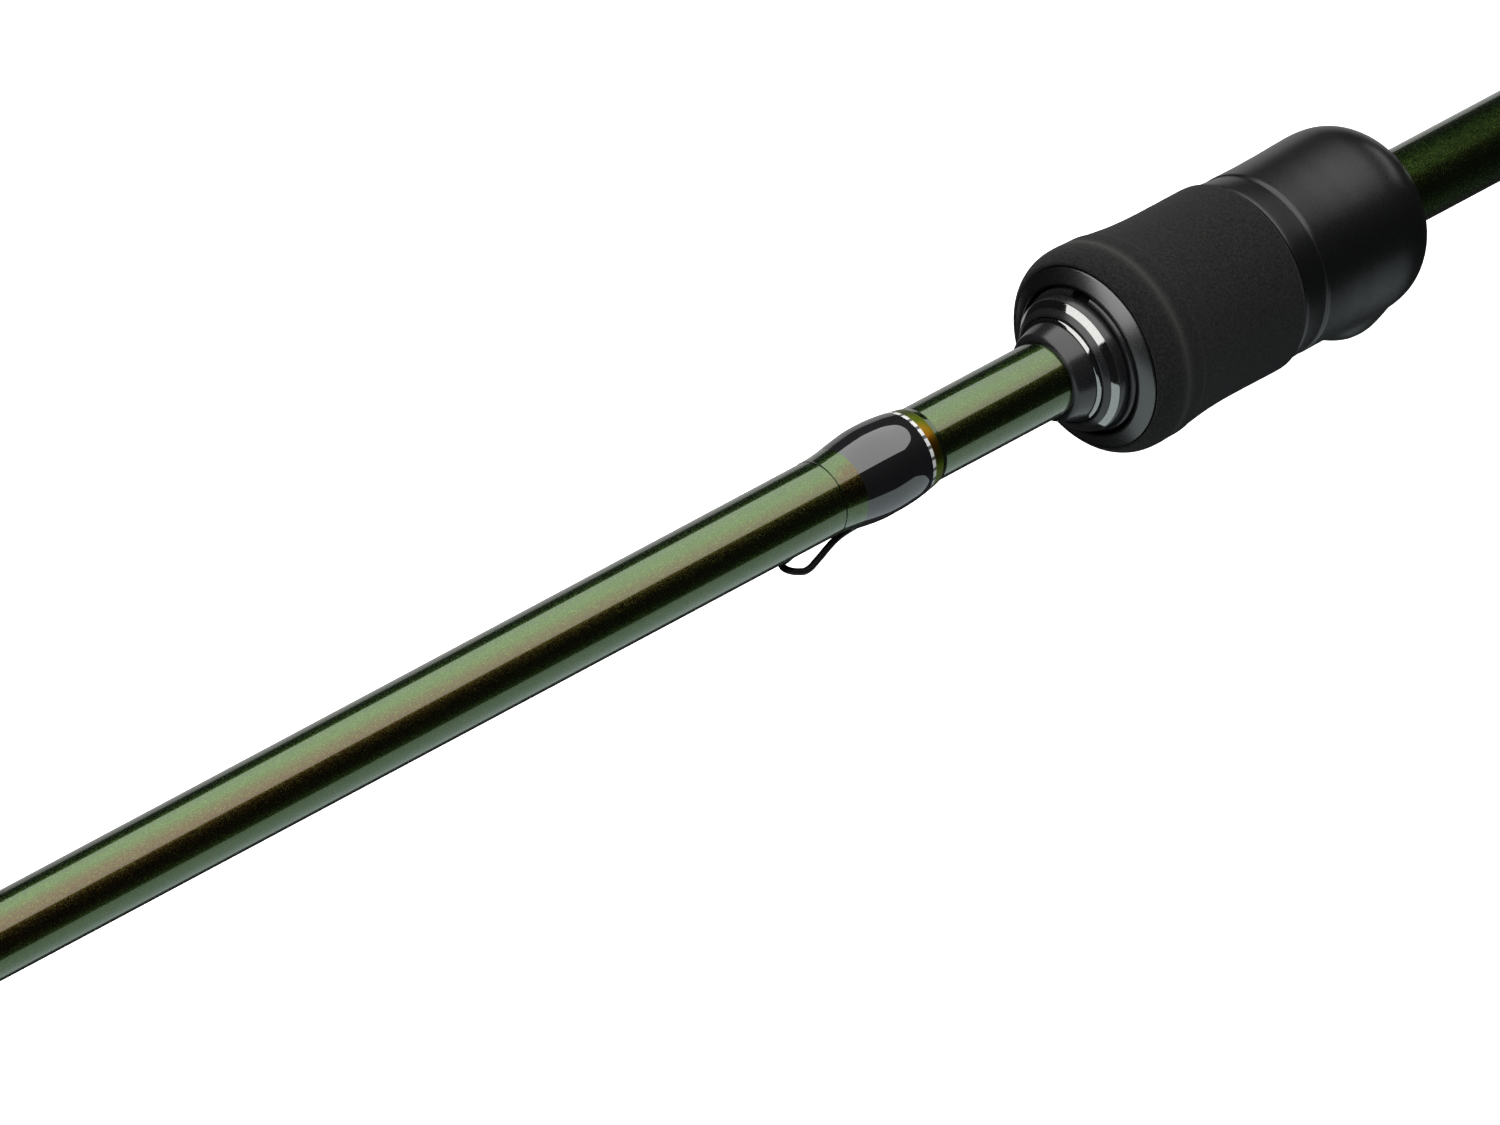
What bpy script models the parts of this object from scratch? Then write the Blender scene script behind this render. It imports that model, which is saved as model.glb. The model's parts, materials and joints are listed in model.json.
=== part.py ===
"""Two-piece spinning rod with a split grip and a screw-down reel seat, for Blender 4.5.

Lengths in this file are millimetres and become metres when a mesh is made. The rod lies
along +X from the flat end of its butt cap, at the origin, to its tip. The reel foot and
the guides are on the underside, towards -Z.
"""
from math import cos, pi, radians, sin, sqrt

import bmesh
import bpy
from mathutils import Matrix, Vector

MM = 0.001

# Blank: two tapered tubes, the tip section slipped over the end of the butt section.
ROD_LENGTH = 1980.0
CHECK_FRONT = 430.0          # front edge of the winding check, where the handle ends
CHECK_BLANK_R = 5.0          # outer radius of the blank there
BLANK_TAPER = 0.00265        # loss of radius per millimetre on the butt section
BLANK_WALL = 1.1
BLANK_START = 5.0            # inside the butt cap
FERRULE_START = 975.0        # open end of the tip section
FERRULE_DEPTH = 60.0
FERRULE_WALL = 0.7
TIP_END = 1974.0
TIP_END_R = 0.9
TIP_WALL = 0.5

# Fits
GLUE_GAP = 0.15              # between pieces glued or wound onto one another
FACE_GAP = 0.3               # between pieces that meet face to face
SLIDE_GAP = 0.35             # between the hood or nut and the barrel

# Handle, all measured back from the winding check's front edge
CHECK_LENGTH = 6.6
BARREL_FRONT = 6.9
BARREL_R = 9.6
BARREL_REAR = 57.9
ARBOR_WALL = 0.6
KEYWAY_WIDTH = 2.8
KEYWAY_FLOOR_R = 8.2
FOOT_BED = 7.0               # distance from the rod's axis to the bed of the reel foot
FOOT_FLAT_START = 46.0
NUT_RING_FRONT = 7.6
NUT_RING_BACK = 9.5
GRIP_FRONT = 8.1
GRIP_BACK = 35.5
GRIP_R = 14.0
HOOD_FRONT = 35.8
HOOD_BACK = 64.0
HOOD_R = 12.65
HOOD_BORE_END = 58.3
POCKET_DEPTH_END = 48.5

# Housing and foot pocket shared by both hoods
HOUSING_HALF_WIDTH = 8.6
HOUSING_DEPTH = 14.9
HOUSING_SQUARENESS = 3.5
POCKET_HALF_WIDTH = 6.8
POCKET_FLOOR = 13.0
POCKET_ROUNDING = 4.0
LINER_WALL = 0.6

# Rear of the handle, measured from the butt
CAP_LENGTH = 9.0
CAP_R = 13.6
REAR_GRIP_END = 92.0
REAR_CHECK_END = 97.0
SEAT_CHECK_START = 198.0
SEAT_GRIP_START = 203.0
SEAT_BODY_START = 231.0
SEAT_BODY_END = 288.0
TONGUE_END = 306.0

SIDES = 20                   # facets round the blank and what is wound on it
GRIP_SIDES = 28
GUIDE_SIDES = 14

# Guides: name, place of the ring along the rod, ring diameter, height of the ring's
# centre over the blank, length of a foot, and whether it stands on two feet.
GUIDES = [
    ("guide_25", 837.0, 25.0, 27.0, 21.0, True),
    ("guide_16", 1091.0, 16.0, 18.5, 16.0, True),
    ("guide_12", 1307.0, 12.0, 13.5, 13.0, False),
    ("guide_10", 1485.0, 10.0, 10.0, 11.0, False),
    ("guide_8", 1637.0, 8.0, 7.6, 10.0, False),
    ("guide_7", 1764.0, 7.0, 6.2, 9.0, False),
    ("guide_6", 1878.0, 6.0, 5.0, 8.0, False),
]
TIP_TOP_RING = 6.0

PALETTE = {
    "green_blank": ((0.030, 0.085, 0.022), 0.75, 0.22),
    "black_thread": ((0.008, 0.008, 0.009), 0.0, 0.12),
    "silver_thread": ((0.62, 0.62, 0.60), 0.9, 0.30),
    "gold_thread": ((0.45, 0.17, 0.02), 0.6, 0.30),
    "satin_black": ((0.020, 0.020, 0.022), 0.2, 0.35),
    "soft_touch": ((0.038, 0.041, 0.042), 0.0, 0.62),
    "eva_foam": ((0.018, 0.018, 0.017), 0.0, 0.92),
    "black_rubber": ((0.015, 0.015, 0.015), 0.0, 0.75),
    "arbor": ((0.55, 0.50, 0.40), 0.0, 0.80),
    "guide_steel": ((0.030, 0.032, 0.035), 0.9, 0.28),
    "guide_ceramic": ((0.050, 0.052, 0.055), 0.1, 0.10),
    "keeper_wire": ((0.010, 0.010, 0.011), 0.6, 0.35),
}


# ---------------------------------------------------------------- helpers

def clear_scene():
    for obj in list(bpy.data.objects):
        bpy.data.objects.remove(obj, do_unlink=True)


def make_materials():
    """One Principled material for each finish on the rod."""
    materials = {}
    for name, (colour, metallic, roughness) in PALETTE.items():
        material = bpy.data.materials.new(name)
        material.use_nodes = True
        shader = material.node_tree.nodes["Principled BSDF"]
        shader.inputs["Base Color"].default_value = (*colour, 1.0)
        shader.inputs["Metallic"].default_value = metallic
        shader.inputs["Roughness"].default_value = roughness
        materials[name] = material
    return materials


def handle_x(back):
    """Place along the rod of a point the given distance behind the winding check."""
    return CHECK_FRONT - back


def butt_radius(x):
    return CHECK_BLANK_R - BLANK_TAPER * (x - CHECK_FRONT)


def tip_base_radius():
    return butt_radius(FERRULE_START) + GLUE_GAP + FERRULE_WALL


def tip_radius(x):
    share = (x - FERRULE_START) / (TIP_END - FERRULE_START)
    return tip_base_radius() + (TIP_END_R - tip_base_radius()) * share


def blank_radius(x):
    return butt_radius(x) if x < FERRULE_START else tip_radius(x)


def turned(profile, sides=SIDES, centre_z=0.0, closed=True):
    """Turn an outline of (x, radius) points round the X axis, then drop it to centre_z.

    An open outline starts and ends on the axis and gives a solid piece.
    """
    bm = bmesh.new()
    points = [bm.verts.new((x * MM, 0.0, radius * MM)) for x, radius in profile]
    edges = [bm.edges.new(pair) for pair in zip(points, points[1:])]
    if closed:
        edges.append(bm.edges.new((points[-1], points[0])))
    bmesh.ops.spin(bm, geom=points + edges, cent=(0, 0, 0), axis=(1, 0, 0), dvec=(0, 0, 0),
                   angle=2 * pi, steps=sides, use_merge=True, use_duplicate=False)
    bmesh.ops.remove_doubles(bm, verts=bm.verts, dist=1e-7)
    bmesh.ops.translate(bm, vec=(0, 0, centre_z * MM), verts=bm.verts)
    bmesh.ops.recalc_face_normals(bm, faces=bm.faces)
    return bm


def sleeve(outline, gap=GLUE_GAP, sides=SIDES, radius_at=blank_radius):
    """A turned piece with the outer (x, radius) outline given and a bore that clears the blank."""
    first, last = outline[0][0], outline[-1][0]
    bore = [(last, radius_at(last) + gap), (first, radius_at(first) + gap)]
    return turned(list(outline) + bore, sides)


def lofted(rings, closed=False):
    """Skin a row of rings of (x, y, z) points. A closed row makes a sleeve, an open one is capped."""
    bm = bmesh.new()
    loops = [[bm.verts.new(Vector(point) * MM) for point in ring] for ring in rings]
    pairs = list(zip(loops, loops[1:]))
    if closed:
        pairs.append((loops[-1], loops[0]))
    for near, far in pairs:
        for i in range(len(near)):
            j = (i + 1) % len(near)
            bm.faces.new((near[i], near[j], far[j], far[i]))
    if not closed:
        bm.faces.new(loops[0])
        bm.faces.new(loops[-1])
    bmesh.ops.recalc_face_normals(bm, faces=bm.faces)
    return bm


def box(low, high):
    """A plain block between two corners."""
    bm = bmesh.new()
    bmesh.ops.create_cube(bm, size=1.0)
    size = (Vector(high) - Vector(low)) * MM
    middle = (Vector(high) + Vector(low)) * 0.5 * MM
    bmesh.ops.scale(bm, vec=size, verts=bm.verts)
    bmesh.ops.translate(bm, vec=middle, verts=bm.verts)
    return bm


def strip(path, widths, thicknesses, side=Vector((0, 1, 0))):
    """A flat bar swept along a path, with its width along side at every point."""
    rings = []
    points = [Vector(point) for point in path]
    for i, point in enumerate(points):
        ahead = points[min(i + 1, len(points) - 1)] - points[max(i - 1, 0)]
        across = (side - ahead * side.dot(ahead) / ahead.length_squared).normalized()
        up = ahead.cross(across).normalized()
        half_width = across * widths[i] / 2
        half_height = up * thicknesses[i] / 2
        rings.append([point + half_width + half_height, point - half_width + half_height,
                      point - half_width - half_height, point + half_width - half_height])
    return lofted(rings)


def new_object(name, bm):
    mesh = bpy.data.meshes.new(name)
    bm.to_mesh(mesh)
    bm.free()
    obj = bpy.data.objects.new(name, mesh)
    bpy.context.scene.collection.objects.link(obj)
    return obj


def combine(obj, tool_bm, operation):
    """Cut a tool out of an object, or join it on, and drop the tool."""
    tool = new_object("tool", tool_bm)
    modifier = obj.modifiers.new("boolean", "BOOLEAN")
    modifier.operation = operation
    modifier.solver = "EXACT"
    modifier.object = tool
    bpy.context.view_layer.update()
    depsgraph = bpy.context.evaluated_depsgraph_get()
    result = bpy.data.meshes.new_from_object(obj.evaluated_get(depsgraph))
    obj.modifiers.clear()
    obj.data = result
    bpy.data.objects.remove(tool, do_unlink=True)


def piece(name, bm, material, body, joins=(), cuts=()):
    """Make one named piece of the rod, on the empty of the body that it moves with."""
    obj = new_object(name, bm)
    for tool in joins:
        combine(obj, tool, "UNION")
    for tool in cuts:
        combine(obj, tool, "DIFFERENCE")
    obj.data.name = name
    obj.data.materials.clear()
    obj.data.materials.append(material)
    obj.data.shade_smooth()
    obj.data.set_sharp_from_angle(angle=radians(35))
    obj.parent = body
    obj.matrix_parent_inverse = Matrix.Translation(-body.location)
    return obj


def make_body(name, x):
    """An empty on the rod's axis that carries the pieces of one moving body."""
    empty = bpy.data.objects.new(name, None)
    empty.location = (x * MM, 0, 0)
    bpy.context.scene.collection.objects.link(empty)
    return empty


# ---------------------------------------------------------------- hood shapes

def housing_outline(x, radius, depth, sides=GRIP_SIDES):
    """A round section that swells underneath into a rounded housing of the given depth."""
    points = []
    for i in range(sides):
        angle = 2 * pi * i / sides
        across, down = sin(angle), -cos(angle)
        reach = radius
        if down > 0 and depth > radius:
            power = HOUSING_SQUARENESS
            rounded = (abs(across) / HOUSING_HALF_WIDTH) ** power + (down / depth) ** power
            reach = max(radius, rounded ** (-1 / power))
        points.append((x, reach * across, -reach * down))
    return points


def pocket_outline(x, top, inset=0.0, steps=6):
    """The foot pocket's section: square above, rounded below, open towards the blank."""
    half = POCKET_HALF_WIDTH - inset
    floor = POCKET_FLOOR - inset
    rounding = POCKET_ROUNDING - inset
    right = [(half - rounding + rounding * sin(a), -(floor - rounding) - rounding * cos(a))
             for a in (pi / 2 * i / steps for i in range(steps + 1))]
    left = [(-y, z) for y, z in reversed(right)]
    corners = [(half, -top)] + right[::-1] + left[::-1] + [(-half, -top)]
    return [(x, y, z) for y, z in corners]


def pocket_cutter(x0, x1, top):
    return lofted([pocket_outline(x0, top), pocket_outline(x1, top)])


def liner_shape(x0, x1, top):
    """A U-shaped cushion that lines the pocket's floor and sides."""
    def section(x):
        outer = pocket_outline(x, top, FACE_GAP)
        inner = pocket_outline(x, top, FACE_GAP + LINER_WALL)
        return outer + inner[::-1]
    return lofted([section(x0), section(x1)])


# ---------------------------------------------------------------- blank and rear handle

def build_butt_blank(mat, body):
    end = FERRULE_START + FERRULE_DEPTH
    outline = [(x, butt_radius(x)) for x in (BLANK_START, CHECK_FRONT, FERRULE_START, end)]
    bore = [(end, butt_radius(end) - BLANK_WALL), (BLANK_START, butt_radius(BLANK_START) - BLANK_WALL)]
    piece("butt_blank", turned(outline + bore), mat["green_blank"], body)


def build_butt_end(mat, body):
    """Rubber cap with a flat end, its trim ring and the rear grip."""
    cap = [(0.0, 0.0), (0.0, CAP_R - 1.6), (0.5, CAP_R - 0.5), (1.6, CAP_R), (CAP_LENGTH - 1.0, CAP_R),
           (CAP_LENGTH, CAP_R - 0.6)]
    socket_r = butt_radius(BLANK_START) + GLUE_GAP
    socket = [(CAP_LENGTH, socket_r), (BLANK_START - FACE_GAP, socket_r), (BLANK_START - FACE_GAP, 0.0)]
    piece("butt_cap", turned(cap + socket, GRIP_SIDES, closed=False), mat["black_rubber"], body)

    ring_start, ring_end = CAP_LENGTH + FACE_GAP, CAP_LENGTH + 2.6
    ring = [(ring_start, CAP_R - 0.5), (ring_start + 0.5, CAP_R + 0.1), (ring_end - 0.5, CAP_R + 0.1),
            (ring_end, CAP_R - 0.5)]
    piece("butt_trim_ring", sleeve(ring, sides=GRIP_SIDES), mat["satin_black"], body)

    start = ring_end + FACE_GAP
    grip = [(start, CAP_R - 0.6), (start + 1.2, CAP_R + 0.2), (25.0, 14.0), (34.0, 13.8), (48.0, 12.6),
            (62.0, 11.2), (76.0, 10.3), (REAR_GRIP_END - 2.0, 9.9), (REAR_GRIP_END, 9.1)]
    piece("rear_grip", sleeve(grip, sides=GRIP_SIDES), mat["eva_foam"], body)

    check_start = REAR_GRIP_END + FACE_GAP
    check = [(check_start, 8.8), (check_start + 1.2, 8.8), (check_start + 1.5, 7.7),
             (check_start + 2.8, 7.6), (REAR_CHECK_END, 6.7)]
    piece("rear_grip_check", sleeve(check), mat["satin_black"], body)


def build_seat_rear(mat, body):
    """Fixed half of the reel seat: winding check, short grip, body with its hood, and arbor."""
    check = [(SEAT_CHECK_START, 6.4), (SEAT_CHECK_START + 2.0, 7.4), (SEAT_CHECK_START + 2.4, 8.6),
             (SEAT_GRIP_START - FACE_GAP, 9.3)]
    piece("seat_rear_check", sleeve(check), mat["satin_black"], body)

    grip_end = SEAT_BODY_START - FACE_GAP
    grip = [(SEAT_GRIP_START, 9.4), (SEAT_GRIP_START + 1.2, 10.2), (210.0, 11.2), (218.0, 12.2),
            (grip_end - 3.0, 12.7), (grip_end, 12.6)]
    piece("seat_rear_grip", sleeve(grip, sides=GRIP_SIDES), mat["eva_foam"], body)

    # The body swells into the housing of the fixed hood, then rounds down to the blank.
    stations = [(SEAT_BODY_START, 12.6, 12.6), (246.0, 12.5, 12.5), (258.0, 12.6, 12.7),
                (264.0, 12.65, 13.5), (268.5, 12.65, 14.6), (274.0, 12.65, HOUSING_DEPTH),
                (279.5, 12.6, 14.3), (283.0, 11.9, 12.9), (286.0, 10.3, 11.0), (SEAT_BODY_END, 7.6, 7.6)]
    bore_r = butt_radius(SEAT_BODY_START) + GLUE_GAP + ARBOR_WALL + GLUE_GAP
    tongue = box((SEAT_BODY_END - 6.0, -5.9, -FOOT_BED), (TONGUE_END, 5.9, -3.4))
    bore = turned([(SEAT_BODY_START - 5, 0.0), (SEAT_BODY_START - 5, bore_r), (TONGUE_END + 5, bore_r),
                   (TONGUE_END + 5, 0.0)], closed=False)
    pocket = pocket_cutter(268.5, SEAT_BODY_END + 0.8, FOOT_BED - FACE_GAP)
    piece("seat_rear_body", lofted([housing_outline(*station) for station in stations]),
          mat["soft_touch"], body, joins=[tongue], cuts=[bore, pocket])

    piece("rear_hood_liner", liner_shape(269.0, 281.0, FOOT_BED + 0.8), mat["black_rubber"], body)

    arbor_start, arbor_end = SEAT_BODY_START + 1.0, SEAT_BODY_END - 2.0
    arbor = [(x, butt_radius(x) + GLUE_GAP + ARBOR_WALL) for x in (arbor_start, arbor_end)]
    piece("rear_arbor", sleeve(arbor), mat["arbor"], body)


# ---------------------------------------------------------------- front handle

def build_barrel(mat, body):
    """Screw barrel on its arbor, with a keyway on top and a flat bed for the foot below."""
    front, rear = handle_x(BARREL_FRONT), handle_x(BARREL_REAR)
    arbor = [(x, butt_radius(x) + GLUE_GAP + ARBOR_WALL) for x in (rear + 1.0, front - 1.0)]
    piece("front_arbor", sleeve(arbor), mat["arbor"], body)

    bore_r = butt_radius(rear) + 2 * GLUE_GAP + ARBOR_WALL
    tube = [(rear, bore_r), (rear, BARREL_R - 0.5), (rear + 0.6, BARREL_R), (front - 0.7, BARREL_R),
            (front, BARREL_R - 0.5), (front, bore_r)]
    half = KEYWAY_WIDTH / 2
    keyway = box((rear - 1, -half, KEYWAY_FLOOR_R), (front + 1, half, BARREL_R + 2))
    flat = box((rear - 1, -BARREL_R - 1, -BARREL_R - 1),
               (handle_x(FOOT_FLAT_START), BARREL_R + 1, -FOOT_BED - 0.15))
    piece("threaded_barrel", turned(tube, GRIP_SIDES), mat["satin_black"], body, cuts=[keyway, flat])

    steps = [(0.0, 5.35), (3.4, 6.35), (3.7, 6.5), (3.7, 7.3), (4.4, 7.75), (5.6, 8.45), (6.0, 8.9),
             (CHECK_LENGTH, 8.9)]
    check = [(handle_x(back), radius) for back, radius in reversed(steps)]
    piece("winding_check", sleeve(check), mat["satin_black"], body)


def build_nut(mat, body):
    """Turning half of the seat: threaded core, chamfered ring and the foam grip bonded over it."""
    bore_r = BARREL_R + SLIDE_GAP
    core_front, core_back = handle_x(NUT_RING_BACK + FACE_GAP), handle_x(GRIP_BACK)
    core_r = 11.3
    core = [(core_back, bore_r), (core_back, core_r), (core_front, core_r), (core_front, bore_r)]
    piece("nut_core", turned(core, GRIP_SIDES), mat["satin_black"], body)

    front, back = handle_x(NUT_RING_FRONT), handle_x(NUT_RING_BACK)
    ring = [(back, bore_r), (back, 11.85), (back + 0.2, 11.85), (front, 10.15), (front, bore_r)]
    piece("nut_trim_ring", turned(ring, GRIP_SIDES), mat["satin_black"], body)

    bore = core_r + GLUE_GAP
    lip = 11.85 + GLUE_GAP
    grip = [(GRIP_BACK, bore), (GRIP_BACK, 12.9), (GRIP_BACK - 0.4, 13.05), (29.0, 12.95), (24.0, 12.98),
            (20.0, 13.2), (16.5, 13.65), (14.0, 13.92), (11.8, GRIP_R), (10.0, 13.82), (8.8, 13.3),
            (8.2, 12.6), (GRIP_FRONT, lip), (9.6, lip), (9.8, bore)]
    piece("fore_grip", turned([(handle_x(back), radius) for back, radius in grip], GRIP_SIDES),
          mat["eva_foam"], body)


def build_hood(mat, body):
    """Sliding hood: a keyed shell over the barrel with the foot pocket underneath."""
    stations = [(HOOD_FRONT, 12.5, 12.5), (39.2, 12.45, 12.45), (39.8, HOOD_R, HOOD_R),
                (43.0, HOOD_R, 13.0), (45.5, HOOD_R, 14.0), (48.0, HOOD_R, 14.7),
                (51.0, HOOD_R, HOUSING_DEPTH), (54.5, HOOD_R, 14.5), (58.0, HOOD_R, 13.3),
                (60.6, 12.0, 12.2), (62.7, 10.4, 10.6), (HOOD_BACK, 7.8, 7.8)]
    shell = lofted([housing_outline(handle_x(back), radius, depth) for back, radius, depth in stations])
    bore_r = BARREL_R + SLIDE_GAP
    eye_r = butt_radius(handle_x(HOOD_BACK + 30)) + 0.7
    passage = [(handle_x(HOOD_BACK + 5), 0.0), (handle_x(HOOD_BACK + 5), eye_r),
               (handle_x(HOOD_BORE_END), eye_r), (handle_x(HOOD_BORE_END), bore_r),
               (handle_x(HOOD_FRONT - 5), bore_r), (handle_x(HOOD_FRONT - 5), 0.0)]
    pocket = pocket_cutter(handle_x(HOOD_BACK + 1), handle_x(POCKET_DEPTH_END), 4.5)
    hood = piece("front_hood", shell, mat["soft_touch"], body,
                 cuts=[turned(passage, GRIP_SIDES, closed=False), pocket])
    key_half = KEYWAY_WIDTH / 2 - 0.4
    key = box((handle_x(56.0), -key_half, KEYWAY_FLOOR_R + 0.4), (handle_x(38.0), key_half, bore_r + 1.0))
    combine(hood, key, "UNION")
    piece("front_hood_liner", liner_shape(handle_x(57.0), handle_x(49.0), FOOT_BED + 0.8),
          mat["black_rubber"], body)


# ---------------------------------------------------------------- hook keeper and its wrap

KEEPER_WIRE_R = 0.53
KEEPER_HALF_WIDTH = 1.95
KEEPER_LIFT = 1.45            # how far the wrap stands off underneath to take the wires in
KEEPER_COVER = (-35.2, -23.75)


def build_keeper(mat, body):
    """Bent wire loop under the blank, bound down by a thread wrap with two trim bands."""
    rest_r = butt_radius(handle_x(-30)) + GLUE_GAP + KEEPER_WIRE_R
    leg_z = -sqrt(rest_r ** 2 - KEEPER_HALF_WIDTH ** 2) - 0.05
    bend_x, bend_z = handle_x(-41.6), -8.35
    leg = [(handle_x(-25.5), leg_z), (handle_x(-34.4), leg_z), (handle_x(-36.0), leg_z - 0.3),
           (handle_x(-37.6), leg_z - 1.0), (handle_x(-39.6), leg_z - 2.1), (bend_x, bend_z)]
    right = [Vector((x, KEEPER_HALF_WIDTH, z)) for x, z in leg]
    turn = [Vector((bend_x + 2.1 * sin(a), KEEPER_HALF_WIDTH * cos(a), bend_z - 0.45 * sin(a)))
            for a in (pi * i / 8 for i in range(1, 8))]
    left = [Vector((p.x, -p.y, p.z)) for p in reversed(right)]
    wire = bpy.data.curves.new("hook_keeper", "CURVE")
    wire.dimensions = "3D"
    wire.bevel_depth = KEEPER_WIRE_R * MM
    wire.bevel_resolution = 1
    wire.render_resolution_u = 0
    wire.use_fill_caps = True
    spline = wire.splines.new("POLY")
    path = right + turn + left
    spline.points.add(len(path) - 1)
    for point, place in zip(spline.points, path):
        point.co = (*(place * MM), 1.0)
    wire.materials.append(mat["keeper_wire"])
    keeper = bpy.data.objects.new("hook_keeper", wire)
    bpy.context.scene.collection.objects.link(keeper)
    keeper.parent = body
    keeper.matrix_parent_inverse = Matrix.Translation(-body.location)

    def section(back, cover, sides=36):
        """A ring round the blank that steps out underneath to clear the two wires."""
        points = []
        x = handle_x(back)
        for i in range(sides):
            angle = 2 * pi * i / sides
            from_below = abs(angle - pi)
            lift = min(1.0, max(0.0, (radians(41) - from_below) / radians(11)))
            reach = butt_radius(x) + GLUE_GAP + KEEPER_LIFT * lift + cover
            points.append((x, reach * sin(angle), reach * cos(angle)))
        return points

    covers = [(-35.2, 0.35), (-34.2, 0.5), (-32.0, 0.66), (-29.0, 0.78), (-26.0, 0.68), (-23.75, 0.5)]
    outer = [section(back, cover) for back, cover in covers]
    inner = [section(back, 0.0) for back in reversed(KEEPER_COVER)]
    piece("keeper_wrap", lofted(outer + inner, closed=True), mat["black_thread"], body)
    for name, start, end, radii, finish in (
            ("silver_trim", -23.6, -23.05, (5.55, 5.52), "silver_thread"),
            ("gold_trim", -22.9, -21.2, (5.48, 5.32), "gold_thread")):
        band = [(handle_x(end), radii[1]), (handle_x(start), radii[0])]
        piece(name, sleeve(band), mat[finish], body)


# ---------------------------------------------------------------- guides

def guide_ring(name, x, ring_diameter, centre_z, mat, body):
    """Ceramic ring with a rounded inner edge."""
    outer = ring_diameter / 2 - 0.85
    wall = 0.35 + ring_diameter * 0.055
    inner = outer - wall
    lip = inner + wall * 0.45
    half = 0.6 + ring_diameter * 0.03
    profile = [(x - half, outer), (x - half, lip), (x - half * 0.45, inner),
               (x + half * 0.45, inner), (x + half, lip), (x + half, outer)]
    sides = GUIDE_SIDES if ring_diameter < 14 else SIDES
    piece(name + "_ring", turned(profile, sides, centre_z), mat["guide_ceramic"], body)


def guide_band(x, ring_diameter, centre_z):
    """The round band of the frame that grips the ceramic ring."""
    outer = ring_diameter / 2
    inner = outer - 0.7
    half = 0.45 + ring_diameter * 0.02
    sides = GUIDE_SIDES if ring_diameter < 14 else SIDES
    return turned([(x - half, inner), (x - half, outer), (x + half, outer), (x + half, inner)],
                  sides, centre_z)


def guide_eye(x, ring_diameter, centre_z, reach):
    """The round hole through a frame, as a plug to cut it with."""
    radius = ring_diameter / 2 - 0.7
    sides = GUIDE_SIDES if ring_diameter < 14 else SIDES
    outline = [(x - reach, 0.0), (x - reach, radius), (x + reach, radius), (x + reach, 0.0)]
    return turned(outline, sides, centre_z, closed=False)


def guide_foot(root_x, end_x, width, thickness):
    """A foot that lies along the underside of the blank and thins towards its end."""
    def at(x, share):
        z = -(blank_radius(x) + GLUE_GAP + thickness * share / 2)
        return (x, 0.0, z)
    middle = root_x + 0.55 * (end_x - root_x)
    path = [at(root_x, 1.0), at(middle, 1.0), at(end_x, 0.5)]
    return strip(path, [width, width, width * 0.45], [thickness, thickness, thickness * 0.5])


def guide_leg(x, side, angle, ring_diameter, centre_z, foot_x, foot_z, width, thickness):
    """A strut from the band, at an angle from its top, to the root of a foot."""
    reach = ring_diameter / 2 - 0.3
    top = Vector((x, side * reach * sin(angle), centre_z + reach * cos(angle)))
    root = Vector((foot_x, side * width * 0.28, foot_z))
    knee = top.lerp(root, 0.55) + Vector(((foot_x - x) * 0.12, side * ring_diameter * 0.03, 0))
    return strip([top, knee, root], [width, width, width * 1.1], [thickness] * 3)


def guide_wrap(name, root_x, end_x, width, thickness, mat, body, thread="black_thread"):
    """Thread wrap and epoxy over one foot: round above, bulging over the foot below."""
    towards = 1.0 if end_x > root_x else -1.0
    tail = 3.5 if abs(end_x - root_x) > 9 else 2.5
    start, stop = root_x + towards * 1.2, end_x + towards * tail
    stations = [(start, 1.0, 0.25), (start + towards * 1.5, 1.0, 0.42),
                (root_x + 0.6 * (end_x - root_x), 1.0, 0.42), (end_x + towards * 0.4, 0.62, 0.38),
                (stop, 0.0, 0.22)]

    facet_sag = cos(pi / GUIDE_SIDES)

    def section(x, rise, cover):
        bare = (blank_radius(x) + GLUE_GAP) / facet_sag
        corner = (sqrt((width / 2) ** 2 + (bare + thickness) ** 2) + GLUE_GAP) / facet_sag
        fall = cos(min(1.2, (width / 2) / (bare + thickness))) ** 4
        bulge = rise * (corner - bare) / fall
        points = []
        for i in range(GUIDE_SIDES):
            angle = 2 * pi * i / GUIDE_SIDES
            below = max(0.0, -cos(angle)) ** 4
            reach = bare + bulge * below + cover
            points.append((x, reach * sin(angle), reach * cos(angle)))
        return points

    outer = [section(x, rise, cover) for x, rise, cover in stations]
    bore_stations = (stations[-1], stations[-2], stations[2], stations[0])
    inner = [section(x, rise, 0.0) for x, rise, cover in bore_stations]
    piece(name, lofted(outer + inner, closed=True), mat[thread], body)


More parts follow.
